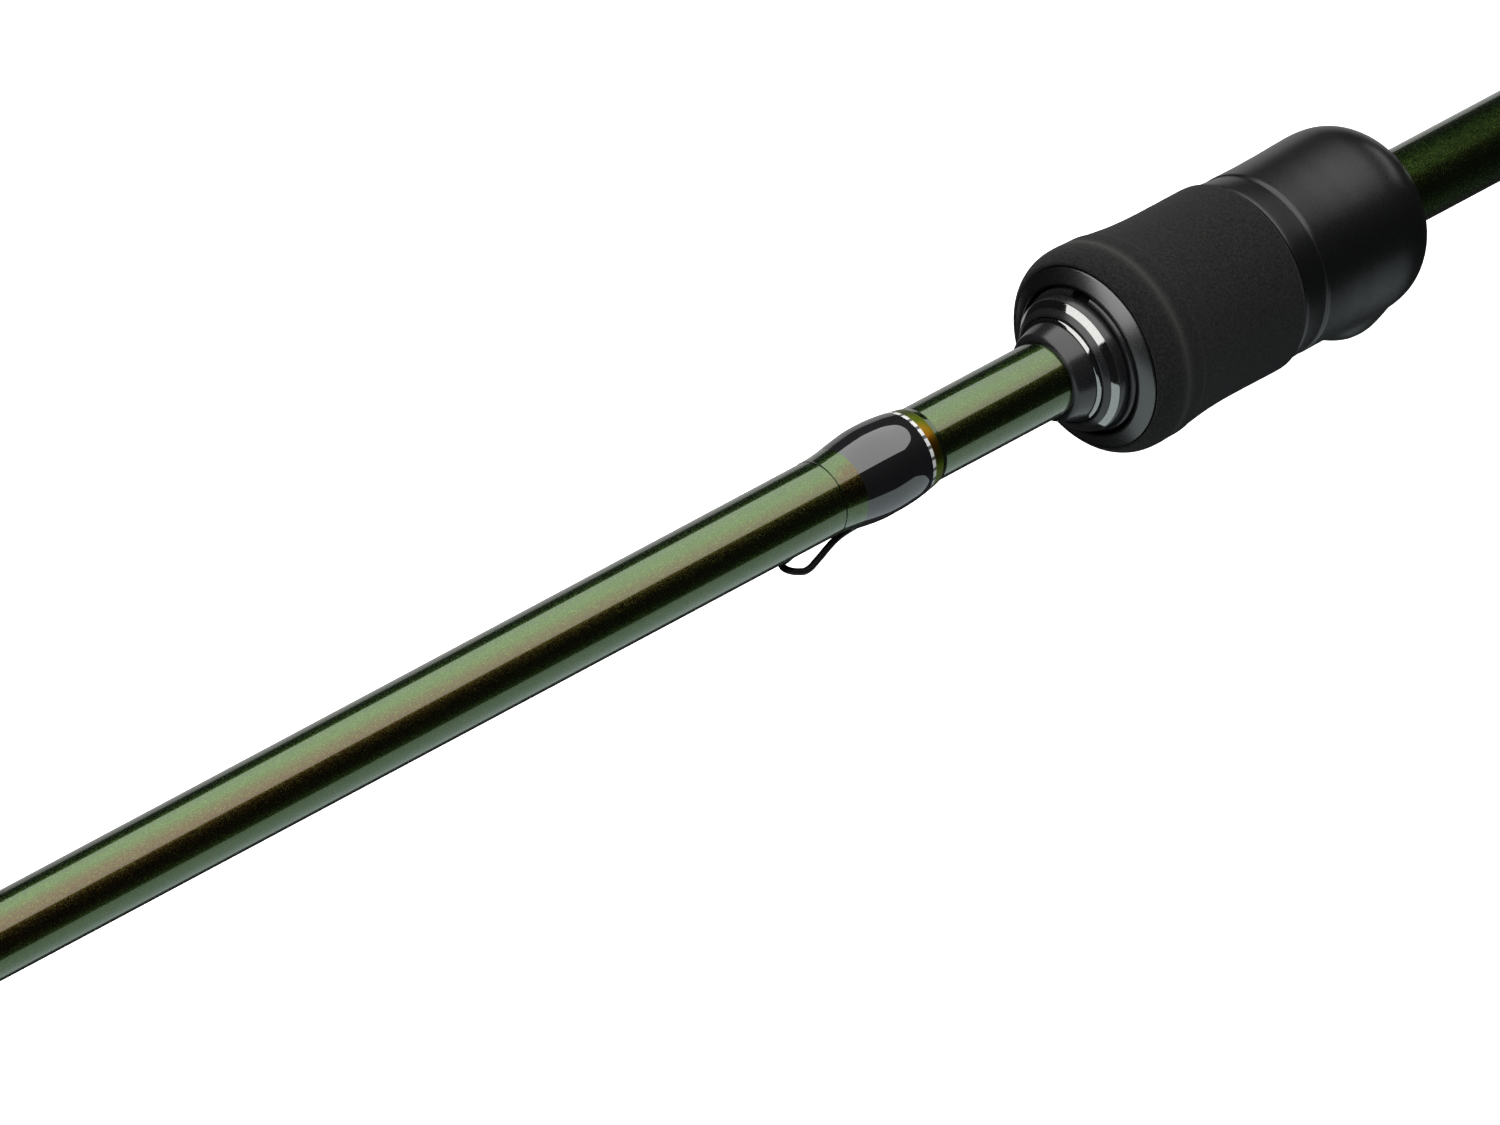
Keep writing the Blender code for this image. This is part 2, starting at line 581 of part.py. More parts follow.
def build_guide(spec, mat, body):
    """One line guide: frame on one or two feet, ceramic ring, and a wrap over each foot."""
    name, x, ring_diameter, height, foot_length, two_feet = spec
    centre_z = -(blank_radius(x) + height)
    clear = height - ring_diameter / 2
    thickness = 0.45 + ring_diameter * 0.018
    width = 1.1 + ring_diameter * 0.07
    leg_width = width * 0.72
    joins = []
    feet = [("front", 1.0, radians(38))]
    if two_feet:
        feet.append(("rear", -1.0, radians(72)))
    for label, towards, angle in feet:
        root_x = x + towards * (1.5 + 0.75 * clear)
        end_x = root_x + towards * foot_length
        foot_z = -(blank_radius(root_x) + GLUE_GAP + thickness / 2)
        joins.append(guide_foot(root_x - towards * 0.6, end_x, width, thickness))
        for side in (1, -1):
            joins.append(guide_leg(x, side, angle, ring_diameter, centre_z, root_x + towards * 0.25,
                                   foot_z, leg_width, thickness * 0.9))
        wrap_name = f"{name}_{label}_wrap" if two_feet else f"{name}_wrap"
        guide_wrap(wrap_name, root_x, end_x, width, thickness, mat, body)
    piece(name + "_frame", guide_band(x, ring_diameter, centre_z), mat["guide_steel"], body, joins=joins,
          cuts=[guide_eye(x, ring_diameter, centre_z, 3.0)])
    guide_ring(name, x, ring_diameter, centre_z, mat, body)


def build_tip_top(mat, body):
    """Tube over the end of the tip with a small ring on two struts, and a trim wrap behind it."""
    tube_start = TIP_END - 12.0
    tube_r = tip_radius(tube_start) + GLUE_GAP
    outer_r = tube_r + 0.45
    tube = turned([(TIP_END + 0.3, 0.0), (TIP_END + 0.3, tube_r), (tube_start, tube_r),
                   (tube_start, outer_r), (TIP_END + 0.8, outer_r), (TIP_END + 1.2, 0.9),
                   (TIP_END + 1.2, 0.0)], GUIDE_SIDES, closed=False)
    ring_x = ROD_LENGTH - 1.2
    centre_z = -4.2
    struts = [strip([(TIP_END - 6.0, side * 0.9, -1.3), (TIP_END - 1.0, side * 1.4, -2.4),
                     (ring_x, side * 2.45, centre_z + 0.9)], [1.0, 1.0, 1.0], [0.6, 0.6, 0.6])
              for side in (1, -1)]
    piece("tip_top_frame", tube, mat["guide_steel"], body,
          joins=struts + [guide_band(ring_x, TIP_TOP_RING, centre_z)],
          cuts=[guide_eye(ring_x, TIP_TOP_RING, centre_z, 3.0)])
    guide_ring("tip_top", ring_x, TIP_TOP_RING, centre_z, mat, body)
    wrap_start = tube_start - 6.0
    wrap_end = tube_start - FACE_GAP
    outline = [(wrap_start, tip_radius(wrap_start) + GLUE_GAP + 0.2),
               (wrap_end, tip_radius(wrap_end) + GLUE_GAP + 0.45)]
    piece("tip_top_wrap", sleeve(outline, sides=GUIDE_SIDES), mat["black_thread"], body)


# ---------------------------------------------------------------- tip section

def build_tip_blank(mat, body):
    """Tapered tube whose wide end slips over the butt section."""
    socket_end = FERRULE_START + FERRULE_DEPTH + 8.0
    outline = [(FERRULE_START, tip_base_radius()), (socket_end, tip_radius(socket_end)),
               (TIP_END, TIP_END_R)]
    tip_bore = [(TIP_END, TIP_END_R - TIP_WALL), (socket_end + 6.0, 2.6),
                (socket_end, butt_radius(socket_end) + GLUE_GAP),
                (FERRULE_START, butt_radius(FERRULE_START) + GLUE_GAP)]
    piece("tip_blank", turned(outline + tip_bore), mat["green_blank"], body)

    def over_tip(back, cover):
        x = FERRULE_START + back
        return (x, tip_radius(x) + GLUE_GAP + cover)

    wrap = [over_tip(1.0, 0.25), over_tip(3.0, 0.5), over_tip(22.0, 0.5), over_tip(25.0, 0.3)]
    piece("ferrule_wrap", sleeve(wrap), mat["black_thread"], body)
    trim = [over_tip(25.3, 0.3), over_tip(27.0, 0.25)]
    piece("ferrule_trim", sleeve(trim), mat["silver_thread"], body)


def build():
    clear_scene()
    mat = make_materials()
    butt_section = make_body("butt_section_axis", 0.0)
    hood_slide = make_body("hood_slide_axis", handle_x(HOOD_BACK))
    nut_turn = make_body("nut_turn_axis", handle_x(GRIP_BACK))
    tip_slide = make_body("tip_slide_axis", FERRULE_START)
    build_butt_blank(mat, butt_section)
    build_butt_end(mat, butt_section)
    build_seat_rear(mat, butt_section)
    build_barrel(mat, butt_section)
    build_keeper(mat, butt_section)
    build_hood(mat, hood_slide)
    build_nut(mat, nut_turn)
    build_tip_blank(mat, tip_slide)
    for spec in GUIDES:
        build_guide(spec, mat, butt_section if spec[1] < FERRULE_START else tip_slide)
    build_tip_top(mat, tip_slide)


build()
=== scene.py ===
"""Looks of the two-piece spinning rod: fine pieces, finishes, studio light and camera.

The rod lies along X with its tip towards +X. Lengths named in this file are millimetres
unless a comment says otherwise, and become metres where a piece is made.
"""
import json
from math import atan2, cos, degrees, hypot, pi, radians, sin, sqrt

import bpy
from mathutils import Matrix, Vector


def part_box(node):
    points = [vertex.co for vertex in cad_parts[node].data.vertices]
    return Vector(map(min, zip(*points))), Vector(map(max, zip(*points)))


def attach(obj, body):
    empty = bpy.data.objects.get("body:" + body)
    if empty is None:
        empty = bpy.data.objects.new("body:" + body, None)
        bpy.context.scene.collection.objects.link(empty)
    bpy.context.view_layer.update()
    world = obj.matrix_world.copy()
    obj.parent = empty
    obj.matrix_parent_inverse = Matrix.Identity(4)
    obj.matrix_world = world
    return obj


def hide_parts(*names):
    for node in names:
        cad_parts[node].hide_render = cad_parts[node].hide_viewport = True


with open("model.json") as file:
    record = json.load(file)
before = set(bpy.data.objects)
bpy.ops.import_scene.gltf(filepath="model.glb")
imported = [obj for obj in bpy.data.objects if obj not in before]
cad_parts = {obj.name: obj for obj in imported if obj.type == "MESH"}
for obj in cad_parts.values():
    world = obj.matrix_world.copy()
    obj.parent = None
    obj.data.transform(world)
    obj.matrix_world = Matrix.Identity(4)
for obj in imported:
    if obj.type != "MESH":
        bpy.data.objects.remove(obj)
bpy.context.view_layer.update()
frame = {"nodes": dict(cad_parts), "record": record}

MM = 0.001
GRIP_SIDES = 128             # facets round the grips and hoods
BLANK_SIDES = 96             # facets round the blank and what is wound on it
GUIDE_SIDES = 64             # facets round a guide's band and ring

# Places along the rod come from the frame
CHECK_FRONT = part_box("winding_check")[1].x / MM
BLANK_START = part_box("butt_blank")[0].x / MM
BUTT_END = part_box("butt_blank")[1].x / MM
TIP_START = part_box("tip_blank")[0].x / MM
TIP_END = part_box("tip_blank")[1].x / MM

# Blank: the butt section loses radius evenly from the handle, and so does the tip section
CHECK_BLANK_R = 5.0
BLANK_TAPER = 0.00265
BLANK_WALL = 1.1
FERRULE_GAP = 0.15
SOCKET_SPARE = 8             # depth of the tip section's socket beyond the end of the butt section
TIP_BASE_R = CHECK_BLANK_R - BLANK_TAPER * (TIP_START - CHECK_FRONT) + 0.85
TIP_END_R = 0.9


def butt_radius(x):
    return CHECK_BLANK_R - BLANK_TAPER * (x - CHECK_FRONT)


def tip_radius(x):
    share = (x - TIP_START) / (TIP_END - TIP_START)
    return TIP_BASE_R + (TIP_END_R - TIP_BASE_R) * share


def blank_radius(x):
    return butt_radius(x) if x < TIP_START else tip_radius(x)


def behind(distance):
    """Place along the rod, measured back from the winding check's front edge."""
    return CHECK_FRONT - distance


# ---------------------------------------------------------------- shader effects

def new_group(name, inputs, outputs):
    """A shader node group with named float or vector inputs and outputs."""
    group = bpy.data.node_groups.new(name, "ShaderNodeTree")
    for label, kind, value in inputs:
        socket = group.interface.new_socket(label, in_out="INPUT", socket_type="NodeSocket" + kind)
        if value is not None:
            socket.default_value = value
    for label, kind in outputs:
        group.interface.new_socket(label, in_out="OUTPUT", socket_type="NodeSocket" + kind)
    group.nodes.new("NodeGroupInput")
    group.nodes.new("NodeGroupOutput")
    return group


def group_ends(group):
    nodes = group.nodes
    return nodes["Group Input"].outputs, nodes["Group Output"].inputs


def math_node(tree, operation, first, second=None, clamp=False):
    """A Math node with each input a number or a socket to link from."""
    node = tree.nodes.new("ShaderNodeMath")
    node.operation = operation
    node.use_clamp = clamp
    for slot, value in enumerate((first, second)):
        if value is None:
            continue
        if isinstance(value, (int, float)):
            node.inputs[slot].default_value = value
        else:
            tree.links.new(value, node.inputs[slot])
    return node.outputs[0]


def mix_colours(tree, factor, first, second):
    node = tree.nodes.new("ShaderNodeMix")
    node.data_type = "RGBA"
    for socket, value in ((node.inputs[0], factor), (node.inputs[6], first), (node.inputs[7], second)):
        if isinstance(value, (int, float)):
            socket.default_value = value
        elif isinstance(value, tuple):
            socket.default_value = (*value, 1.0)
        else:
            tree.links.new(value, socket)
    return node.outputs[2]


def make_grain():
    """Fine isotropic grain: a mask from 0 to 1 and a bumped normal."""
    group = new_group("fine_grain", [("Size", "Float", 0.3), ("Bump", "Float", 0.2)],
                      [("Mask", "Float"), ("Normal", "Vector")])
    given, out = group_ends(group)
    place = group.nodes.new("ShaderNodeTexCoord").outputs["Object"]
    per_metre = math_node(group, "DIVIDE", 1.0 / MM, given["Size"])
    noise = group.nodes.new("ShaderNodeTexNoise")
    noise.inputs["Detail"].default_value = 3.0
    group.links.new(place, noise.inputs["Vector"])
    group.links.new(per_metre, noise.inputs["Scale"])
    bump = group.nodes.new("ShaderNodeBump")
    bump.inputs["Distance"].default_value = 0.1 * MM
    group.links.new(given["Bump"], bump.inputs["Strength"])
    group.links.new(noise.outputs[0], bump.inputs["Height"])
    contrast = math_node(group, "MULTIPLY_ADD", noise.outputs[0], 3.0, clamp=True)
    contrast.node.inputs[2].default_value = -1.0
    group.links.new(contrast, out["Mask"])
    group.links.new(bump.outputs[0], out["Normal"])
    return group


def make_flake():
    """Metal flakes in paint: a random value for each flake and a slightly tipped normal."""
    group = new_group("paint_flake", [("Size", "Float", 0.12), ("Tip", "Float", 0.1)],
                      [("Mask", "Float"), ("Normal", "Vector")])
    given, out = group_ends(group)
    place = group.nodes.new("ShaderNodeTexCoord").outputs["Object"]
    per_metre = math_node(group, "DIVIDE", 1.0 / MM, given["Size"])
    cells = group.nodes.new("ShaderNodeTexVoronoi")
    group.links.new(place, cells.inputs["Vector"])
    group.links.new(per_metre, cells.inputs["Scale"])
    parts = group.nodes.new("ShaderNodeSeparateColor")
    group.links.new(cells.outputs["Color"], parts.inputs[0])
    bump = group.nodes.new("ShaderNodeBump")
    bump.inputs["Distance"].default_value = 0.02 * MM
    group.links.new(given["Tip"], bump.inputs["Strength"])
    group.links.new(parts.outputs[1], bump.inputs["Height"])
    group.links.new(parts.outputs[0], out["Mask"])
    group.links.new(bump.outputs[0], out["Normal"])
    return group


def make_winding():
    """Parallel turns of thread round the X axis: a mask across each turn and its bump."""
    group = new_group("thread_turns", [("Pitch", "Float", 0.2), ("Bump", "Float", 0.3)],
                      [("Mask", "Float"), ("Normal", "Vector")])
    given, out = group_ends(group)
    place = group.nodes.new("ShaderNodeTexCoord").outputs["Object"]
    axes = group.nodes.new("ShaderNodeSeparateXYZ")
    group.links.new(place, axes.inputs[0])
    turns = math_node(group, "MULTIPLY", axes.outputs[0], 2 * pi / MM)
    phase = math_node(group, "DIVIDE", turns, given["Pitch"])
    wave = math_node(group, "SINE", phase)
    mask = math_node(group, "MULTIPLY_ADD", wave, 0.5)
    mask.node.inputs[2].default_value = 0.5
    bump = group.nodes.new("ShaderNodeBump")
    bump.inputs["Distance"].default_value = 0.05 * MM
    group.links.new(given["Bump"], bump.inputs["Strength"])
    group.links.new(mask, bump.inputs["Height"])
    group.links.new(mask, out["Mask"])
    group.links.new(bump.outputs[0], out["Normal"])
    return group


def make_dashes():
    """Short dashes round the X axis: 1 on a dash and 0 in the gap after it."""
    group = new_group("dashes_round", [("Count", "Float", 24.0)], [("Mask", "Float")])
    given, out = group_ends(group)
    place = group.nodes.new("ShaderNodeTexCoord").outputs["Object"]
    axes = group.nodes.new("ShaderNodeSeparateXYZ")
    group.links.new(place, axes.inputs[0])
    angle = math_node(group, "ARCTAN2", axes.outputs[1], axes.outputs[2])
    wave = math_node(group, "SINE", math_node(group, "MULTIPLY", angle, given["Count"]))
    mask = math_node(group, "MULTIPLY_ADD", wave, 4.0, clamp=True)
    mask.node.inputs[2].default_value = 2.8
    group.links.new(mask, out["Mask"])
    return group


def make_line():
    """A soft line round the X axis at one place: 1 in its middle, 0 beyond its width."""
    group = new_group("line_round", [("Place", "Float", 0.0), ("Width", "Float", 1.0)], [("Mask", "Float")])
    given, out = group_ends(group)
    place = group.nodes.new("ShaderNodeTexCoord").outputs["Object"]
    axes = group.nodes.new("ShaderNodeSeparateXYZ")
    group.links.new(place, axes.inputs[0])
    along = math_node(group, "SUBTRACT", math_node(group, "DIVIDE", axes.outputs[0], MM), given["Place"])
    away = math_node(group, "DIVIDE", math_node(group, "ABSOLUTE", along), given["Width"])
    near = math_node(group, "SUBTRACT", 1.0, away, clamp=True)
    group.links.new(math_node(group, "MULTIPLY", near, near), out["Mask"])
    return group


GRAIN = make_grain()
FLAKE = make_flake()
WINDING = make_winding()
DASHES = make_dashes()
LINE = make_line()


def new_material(name, **values):
    """A Principled material with the named sockets set, such as roughness=0.4."""
    material = bpy.data.materials.new(name)
    material.use_nodes = True
    shader = material.node_tree.nodes["Principled BSDF"]
    for label, value in values.items():
        socket = shader.inputs[label.replace("_", " ").title().replace("Ior", "IOR")]
        socket.default_value = (*value, 1.0) if isinstance(value, tuple) else value
    return material, material.node_tree, shader


def add_group(tree, group, **values):
    node = tree.nodes.new("ShaderNodeGroup")
    node.node_tree = group
    for label, value in values.items():
        node.inputs[label].default_value = value
    return node


def spread(tree, mask, low, high):
    """Stretch a 0 to 1 mask to run from low to high."""
    node = tree.nodes.new("ShaderNodeMapRange")
    node.inputs["To Min"].default_value = low
    node.inputs["To Max"].default_value = high
    tree.links.new(mask, node.inputs["Value"])
    return node.outputs[0]


# ---------------------------------------------------------------- finishes

def grained_finish(name, dark, light, roughness, size, bump, **values):
    """A moulded, machined or foam surface: two tones and a roughness that follow a fine grain."""
    material, tree, shader = new_material(name, **values)
    grain = add_group(tree, GRAIN, Size=size, Bump=bump)
    tree.links.new(mix_colours(tree, grain.outputs["Mask"], dark, light), shader.inputs["Base Color"])
    tree.links.new(spread(tree, grain.outputs["Mask"], roughness - 0.04, roughness + 0.04),
                   shader.inputs["Roughness"])
    tree.links.new(grain.outputs["Normal"], shader.inputs["Normal"])
    return material


def facing_colours(tree, stops):
    """Colours that shift with the angle to the eye, from (share turned away, colour) stops."""
    facing = tree.nodes.new("ShaderNodeLayerWeight")
    facing.inputs["Blend"].default_value = 0.5
    ramp = tree.nodes.new("ShaderNodeValToRGB")
    elements = ramp.color_ramp.elements
    elements[0].position, elements[1].position = stops[0][0], stops[-1][0]
    elements[0].color, elements[1].color = (*stops[0][1], 1), (*stops[-1][1], 1)
    for place, colour in stops[1:-1]:
        elements.new(place).color = (*colour, 1)
    tree.links.new(facing.outputs["Facing"], ramp.inputs[0])
    return ramp.outputs[0]


def foam_finish(name):
    return grained_finish(name, (0.0035, 0.0035, 0.0034), (0.0175, 0.0175, 0.0169), 0.93, 0.32, 1.0,
                          specular_ior_level=0.15, sheen_weight=0.05, sheen_roughness=0.6)


def painted_highlight_foam_finish(place, width):
    """Foam with a painted highlight: a soft paler line round it, at a place along X, standing in for light
    caught on the bulge's crest.
    """
    material = foam_finish("eva_foam_painted_highlight")
    tree = material.node_tree
    shader = tree.nodes["Principled BSDF"]
    line = add_group(tree, LINE, Place=place, Width=width)
    grained = shader.inputs["Base Color"].links[0].from_socket
    # painted highlight: a paler colour mixed into the foam along the line
    tree.links.new(mix_colours(tree, line.outputs["Mask"], grained, (0.040, 0.039, 0.037)),
                   shader.inputs["Base Color"])
    return material


def green_paint_finish():
    """Green flakes under clear coat, turning bronze where the paint faces the eye."""
    material, tree, shader = new_material("green_flake_paint", metallic=1.0, coat_weight=1.0,
                                          coat_roughness=0.03, coat_ior=1.55)
    flake = add_group(tree, FLAKE, Size=0.11, Tip=0.3)
    base = facing_colours(tree, [(0.16, (0.070, 0.040, 0.008)), (0.20, (0.062, 0.060, 0.012)),
                                 (0.26, (0.050, 0.092, 0.016)), (0.45, (0.026, 0.068, 0.009))])
    glint = math_node(tree, "POWER", flake.outputs["Mask"], 5.0)
    shade = mix_colours(tree, spread(tree, glint, 0.0, 0.35), base, (0.20, 0.30, 0.07))
    tree.links.new(shade, shader.inputs["Base Color"])
    tree.links.new(spread(tree, flake.outputs["Mask"], 0.17, 0.28), shader.inputs["Roughness"])
    tree.links.new(flake.outputs["Normal"], shader.inputs["Normal"])
    return material


def thread_finish(name, dark, light, pitch, **values):
    """Turns of thread under a thick coat of clear epoxy."""
    material, tree, shader = new_material(name, coat_weight=1.0, coat_roughness=0.02, coat_ior=1.85,
                                          **values)
    winding = add_group(tree, WINDING, Pitch=pitch, Bump=0.3)
    tree.links.new(mix_colours(tree, winding.outputs["Mask"], dark, light), shader.inputs["Base Color"])
    tree.links.new(winding.outputs["Normal"], shader.inputs["Normal"])
    return material


def gold_finish():
    """Metallic thread that shifts from orange to olive with the angle to the eye."""
    material, tree, shader = new_material("gold_thread_epoxy", metallic=1.0, roughness=0.3)
    winding = add_group(tree, WINDING, Pitch=0.2, Bump=0.3)
    base = facing_colours(tree, [(0.28, (0.46, 0.12, 0.004)), (0.345, (0.34, 0.19, 0.006)),
                                 (0.43, (0.14, 0.20, 0.008))])
    lit = spread(tree, winding.outputs["Mask"], 0.5, 1.0)
    tree.links.new(mix_colours(tree, lit, (0.05, 0.03, 0.002), base), shader.inputs["Base Color"])
    tree.links.new(winding.outputs["Normal"], shader.inputs["Normal"])
    return material


def silver_finish():
    """Bright flat thread laid in dashes, with dark gaps between them."""
    material, tree, shader = new_material("silver_thread_epoxy", roughness=0.35, coat_weight=1.0,
                                          coat_roughness=0.02)
    dashes = add_group(tree, DASHES, Count=24.0)
    tree.links.new(mix_colours(tree, dashes.outputs["Mask"], (0.10, 0.10, 0.095), (0.80, 0.80, 0.78)),
                   shader.inputs["Base Color"])
    tree.links.new(add_group(tree, WINDING, Pitch=0.3, Bump=0.2).outputs["Normal"],
                   shader.inputs["Normal"])
    return material


finish = {
    "paint": green_paint_finish(),
    "black_wrap": thread_finish("black_thread_epoxy", (0.003, 0.003, 0.004), (0.006, 0.006, 0.007), 0.18,
                                roughness=0.6, specular_ior_level=0.1),
    "silver": silver_finish(),
    "gold": gold_finish(),
    # fore grip foam with a painted highlight line 12.4 mm behind the winding check
    "foam_painted_highlight": painted_highlight_foam_finish(behind(12.4), 1.4),
    "foam": foam_finish("eva_foam"),
    "hood": grained_finish("soft_touch_coat", (0.0034, 0.0036, 0.0036), (0.0048, 0.0051, 0.0051), 0.31,
                           0.12, 0.08, ior=1.58),
    "satin": grained_finish("satin_black_nylon", (0.010, 0.010, 0.011), (0.015, 0.015, 0.016), 0.24, 0.2,
                            0.05, ior=1.6),
    "polish": grained_finish("polished_black_ring", (0.34, 0.34, 0.33), (0.38, 0.38, 0.37), 0.08, 0.3,
                             0.01, metallic=1.0),
    "ring": grained_finish("anodised_black", (0.115, 0.115, 0.115), (0.135, 0.135, 0.133), 0.3, 0.15,
                           0.05, metallic=1.0),
    "rubber": grained_finish("butt_rubber", (0.010, 0.010, 0.010), (0.018, 0.018, 0.018), 0.75, 0.4, 0.3,
                             specular_ior_level=0.3),
    "steel": grained_finish("gunmetal_plate", (0.10, 0.10, 0.105), (0.16, 0.16, 0.165), 0.24, 0.2, 0.04,
                            metallic=1.0),
    "ceramic": grained_finish("polished_ceramic", (0.020, 0.020, 0.023), (0.035, 0.035, 0.038), 0.1, 0.4,
                              0.01, ior=2.0),
    "wire": grained_finish("coated_wire", (0.005, 0.005, 0.005), (0.009, 0.009, 0.009), 0.38, 0.2, 0.03,
                           specular_ior_level=0.3),
    "arbor": grained_finish("arbor_tape", (0.42, 0.38, 0.28), (0.55, 0.50, 0.40), 0.8, 0.5, 0.3),
}


# ---------------------------------------------------------------- modelling

def deselect():
    if bpy.context.object and bpy.context.object.mode != "OBJECT":
        bpy.ops.object.mode_set(mode="OBJECT")
    bpy.ops.object.select_all(action="DESELECT")


def settle(name, body, material, replaced=(), sharp=35):
    """Name the active piece, put its place into its mesh, smooth it and hang it on a body."""
    piece = bpy.context.object
    piece.name = name
    piece.data.name = name
    bpy.ops.object.transform_apply(location=True, rotation=True, scale=True)
    bpy.ops.object.shade_smooth_by_angle(angle=radians(sharp))
    piece.data.materials.clear()
    piece.data.materials.append(finish[material])
    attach(piece, body)
    if replaced:
        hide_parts(*replaced)
    deselect()
    return piece


def through(points, steps=5):
    """A smooth curve through given outline points, ends included."""
    path = []
    for i in range(len(points) - 1):
        before = Vector(points[max(i - 1, 0)])
        start, end = Vector(points[i]), Vector(points[i + 1])
        after = Vector(points[min(i + 2, len(points) - 1)])
        for k in range(steps):
            t = k / steps
            path.append(0.5 * ((2 * start) + (end - before) * t
                               + (2 * before - 5 * start + 4 * end - after) * t ** 2
                               + (3 * start - before - 3 * end + after) * t ** 3))
    path.append(Vector(points[-1]))
    return [tuple(p) for p in path]


def back_from_check(points):
    """Change stations measured back from the winding check into places along the rod."""
    return [(behind(point[0]), *point[1:]) for point in points]


def draw_out(outline, sides, centre_z=0.0):
    """Draw a ring out along the rod, station by station of (x, radius), as on a lathe."""
    deselect()
    x, radius = outline[0][:2]
    bpy.ops.mesh.primitive_circle_add(vertices=sides, radius=radius * MM, fill_type="NOTHING",
                                      location=(x * MM, 0, centre_z * MM), rotation=(0, pi / 2, 0))
    bpy.ops.object.transform_apply(location=True, rotation=True, scale=True)
    bpy.ops.object.mode_set(mode="EDIT")
    bpy.ops.mesh.select_all(action="SELECT")
    for next_x, next_radius in (station[:2] for station in outline[1:]):
        bpy.ops.mesh.extrude_region_move(TRANSFORM_OT_translate={"value": ((next_x - x) * MM, 0, 0)})
        grow = next_radius / radius
        bpy.ops.transform.resize(value=(1, grow, grow), center_override=(next_x * MM, 0, centre_z * MM))
        x, radius = next_x, next_radius


def close_up(solid=False):
    """Close a drawn shape: cap both open ends, or bridge them into a sleeve."""
    bpy.ops.mesh.select_all(action="DESELECT")
    bpy.ops.mesh.select_mode(type="EDGE")
    bpy.ops.mesh.select_non_manifold(extend=False)
    if solid:
        bpy.ops.mesh.fill_holes(sides=0)
    else:
        bpy.ops.mesh.bridge_edge_loops()
    bpy.ops.mesh.select_all(action="SELECT")
    bpy.ops.mesh.normals_make_consistent(inside=False)
    bpy.ops.object.mode_set(mode="OBJECT")


def turn(name, outline, body, material, sides=BLANK_SIDES, centre_z=0.0, replaced=None, sharp=35):
    """A turned piece whose outline runs round its section, outside first and then the bore."""
    draw_out(outline, sides, centre_z)
    close_up()
    return settle(name, body, material, (name,) if replaced is None else replaced, sharp)


def sleeve(outline, gap=0.02):
    """Close a wound or glued piece's outer outline with a bore that sits on the blank."""
    first, last = outline[0][0], outline[-1][0]
    return list(outline) + [(last, blank_radius(last) + gap), (first, blank_radius(first) + gap)]


def block(low, high, edge=0.0):
    """A block between two corners with rounded edges, left active."""
    deselect()
    size = [(b - a) * MM for a, b in zip(low, high)]
    middle = [(a + b) / 2 * MM for a, b in zip(low, high)]
    bpy.ops.mesh.primitive_cube_add(size=1, location=middle, scale=size)
    bpy.ops.object.transform_apply(location=True, rotation=True, scale=True)
    if edge:
        bpy.ops.object.mode_set(mode="EDIT")
        bpy.ops.mesh.select_all(action="SELECT")
        bpy.ops.mesh.bevel(offset=edge * MM, segments=3, affect="EDGES")
        bpy.ops.object.mode_set(mode="OBJECT")
    return bpy.context.object


def carve(piece, tool, operation="DIFFERENCE"):
    """Cut a tool out of a piece, or join it on, then drop the tool and leave the piece active."""
    deselect()
    bpy.context.view_layer.objects.active = piece
    piece.select_set(True)
    modifier = piece.modifiers.new("carve", "BOOLEAN")
    modifier.operation = operation
    modifier.solver = "EXACT"
    modifier.object = tool
    bpy.ops.object.modifier_apply(modifier=modifier.name)
    bpy.data.objects.remove(tool, do_unlink=True)
    return piece


def plug(outline, sides=GRIP_SIDES):
    """A turned solid, left active, for cutting or joining."""
    draw_out(outline, sides)
    close_up(solid=True)
    return bpy.context.object


def bent_wire(points, radius, resolution=8):
    """A round wire along a smooth path, left active as a mesh."""
    deselect()
    bpy.ops.curve.primitive_bezier_curve_add(location=(0, 0, 0))
    wire = bpy.context.object
    curve = wire.data
    curve.dimensions = "3D"
    spline = curve.splines[0]
    spline.bezier_points.add(len(points) - 2)
    for knot, place in zip(spline.bezier_points, points):
        knot.co = Vector(place) * MM
        knot.handle_left_type = knot.handle_right_type = "AUTO"
    curve.bevel_depth = radius * MM
    curve.bevel_resolution = 5
    curve.resolution_u = resolution
    curve.use_fill_caps = True
    bpy.ops.object.convert(target="MESH")
    return bpy.context.object


def join_pieces(pieces):
    """Join meshes into the first one and leave it active."""
    deselect()
    for piece in pieces:
        piece.select_set(True)
    bpy.context.view_layer.objects.active = pieces[0]
    bpy.ops.object.join()
    return bpy.context.object


# ---------------------------------------------------------------- blanks

def build_blanks():
    butt = [(BLANK_START, butt_radius(BLANK_START)), (behind(100), butt_radius(behind(100))),
            (behind(-200), butt_radius(behind(-200))), (TIP_START, butt_radius(TIP_START)),
            (BUTT_END - 0.4, butt_radius(BUTT_END)), (BUTT_END, butt_radius(BUTT_END) - 0.4)]
    hollow = [(BUTT_END, butt_radius(BUTT_END) - BLANK_WALL),
              (BLANK_START, butt_radius(BLANK_START) - BLANK_WALL)]
    turn("butt_blank_tube", butt + hollow, "butt_section", "paint",
         replaced=("butt_blank",))
    socket_end = BUTT_END + SOCKET_SPARE
    tip = [(TIP_START, TIP_BASE_R - 0.25), (TIP_START + 0.3, tip_radius(TIP_START + 0.3)),
           (1200.0, tip_radius(1200.0)), (1600.0, tip_radius(1600.0)), (TIP_END, TIP_END_R)]
    hollow = [(TIP_END, TIP_END_R - 0.5), (socket_end + 6, 2.6),
              (socket_end, butt_radius(socket_end) + FERRULE_GAP),
              (TIP_START, butt_radius(TIP_START) + FERRULE_GAP)]
    turn("tip_blank_tube", tip + hollow, "tip_section", "paint", replaced=("tip_blank",))


# ---------------------------------------------------------------- winding check and barrel

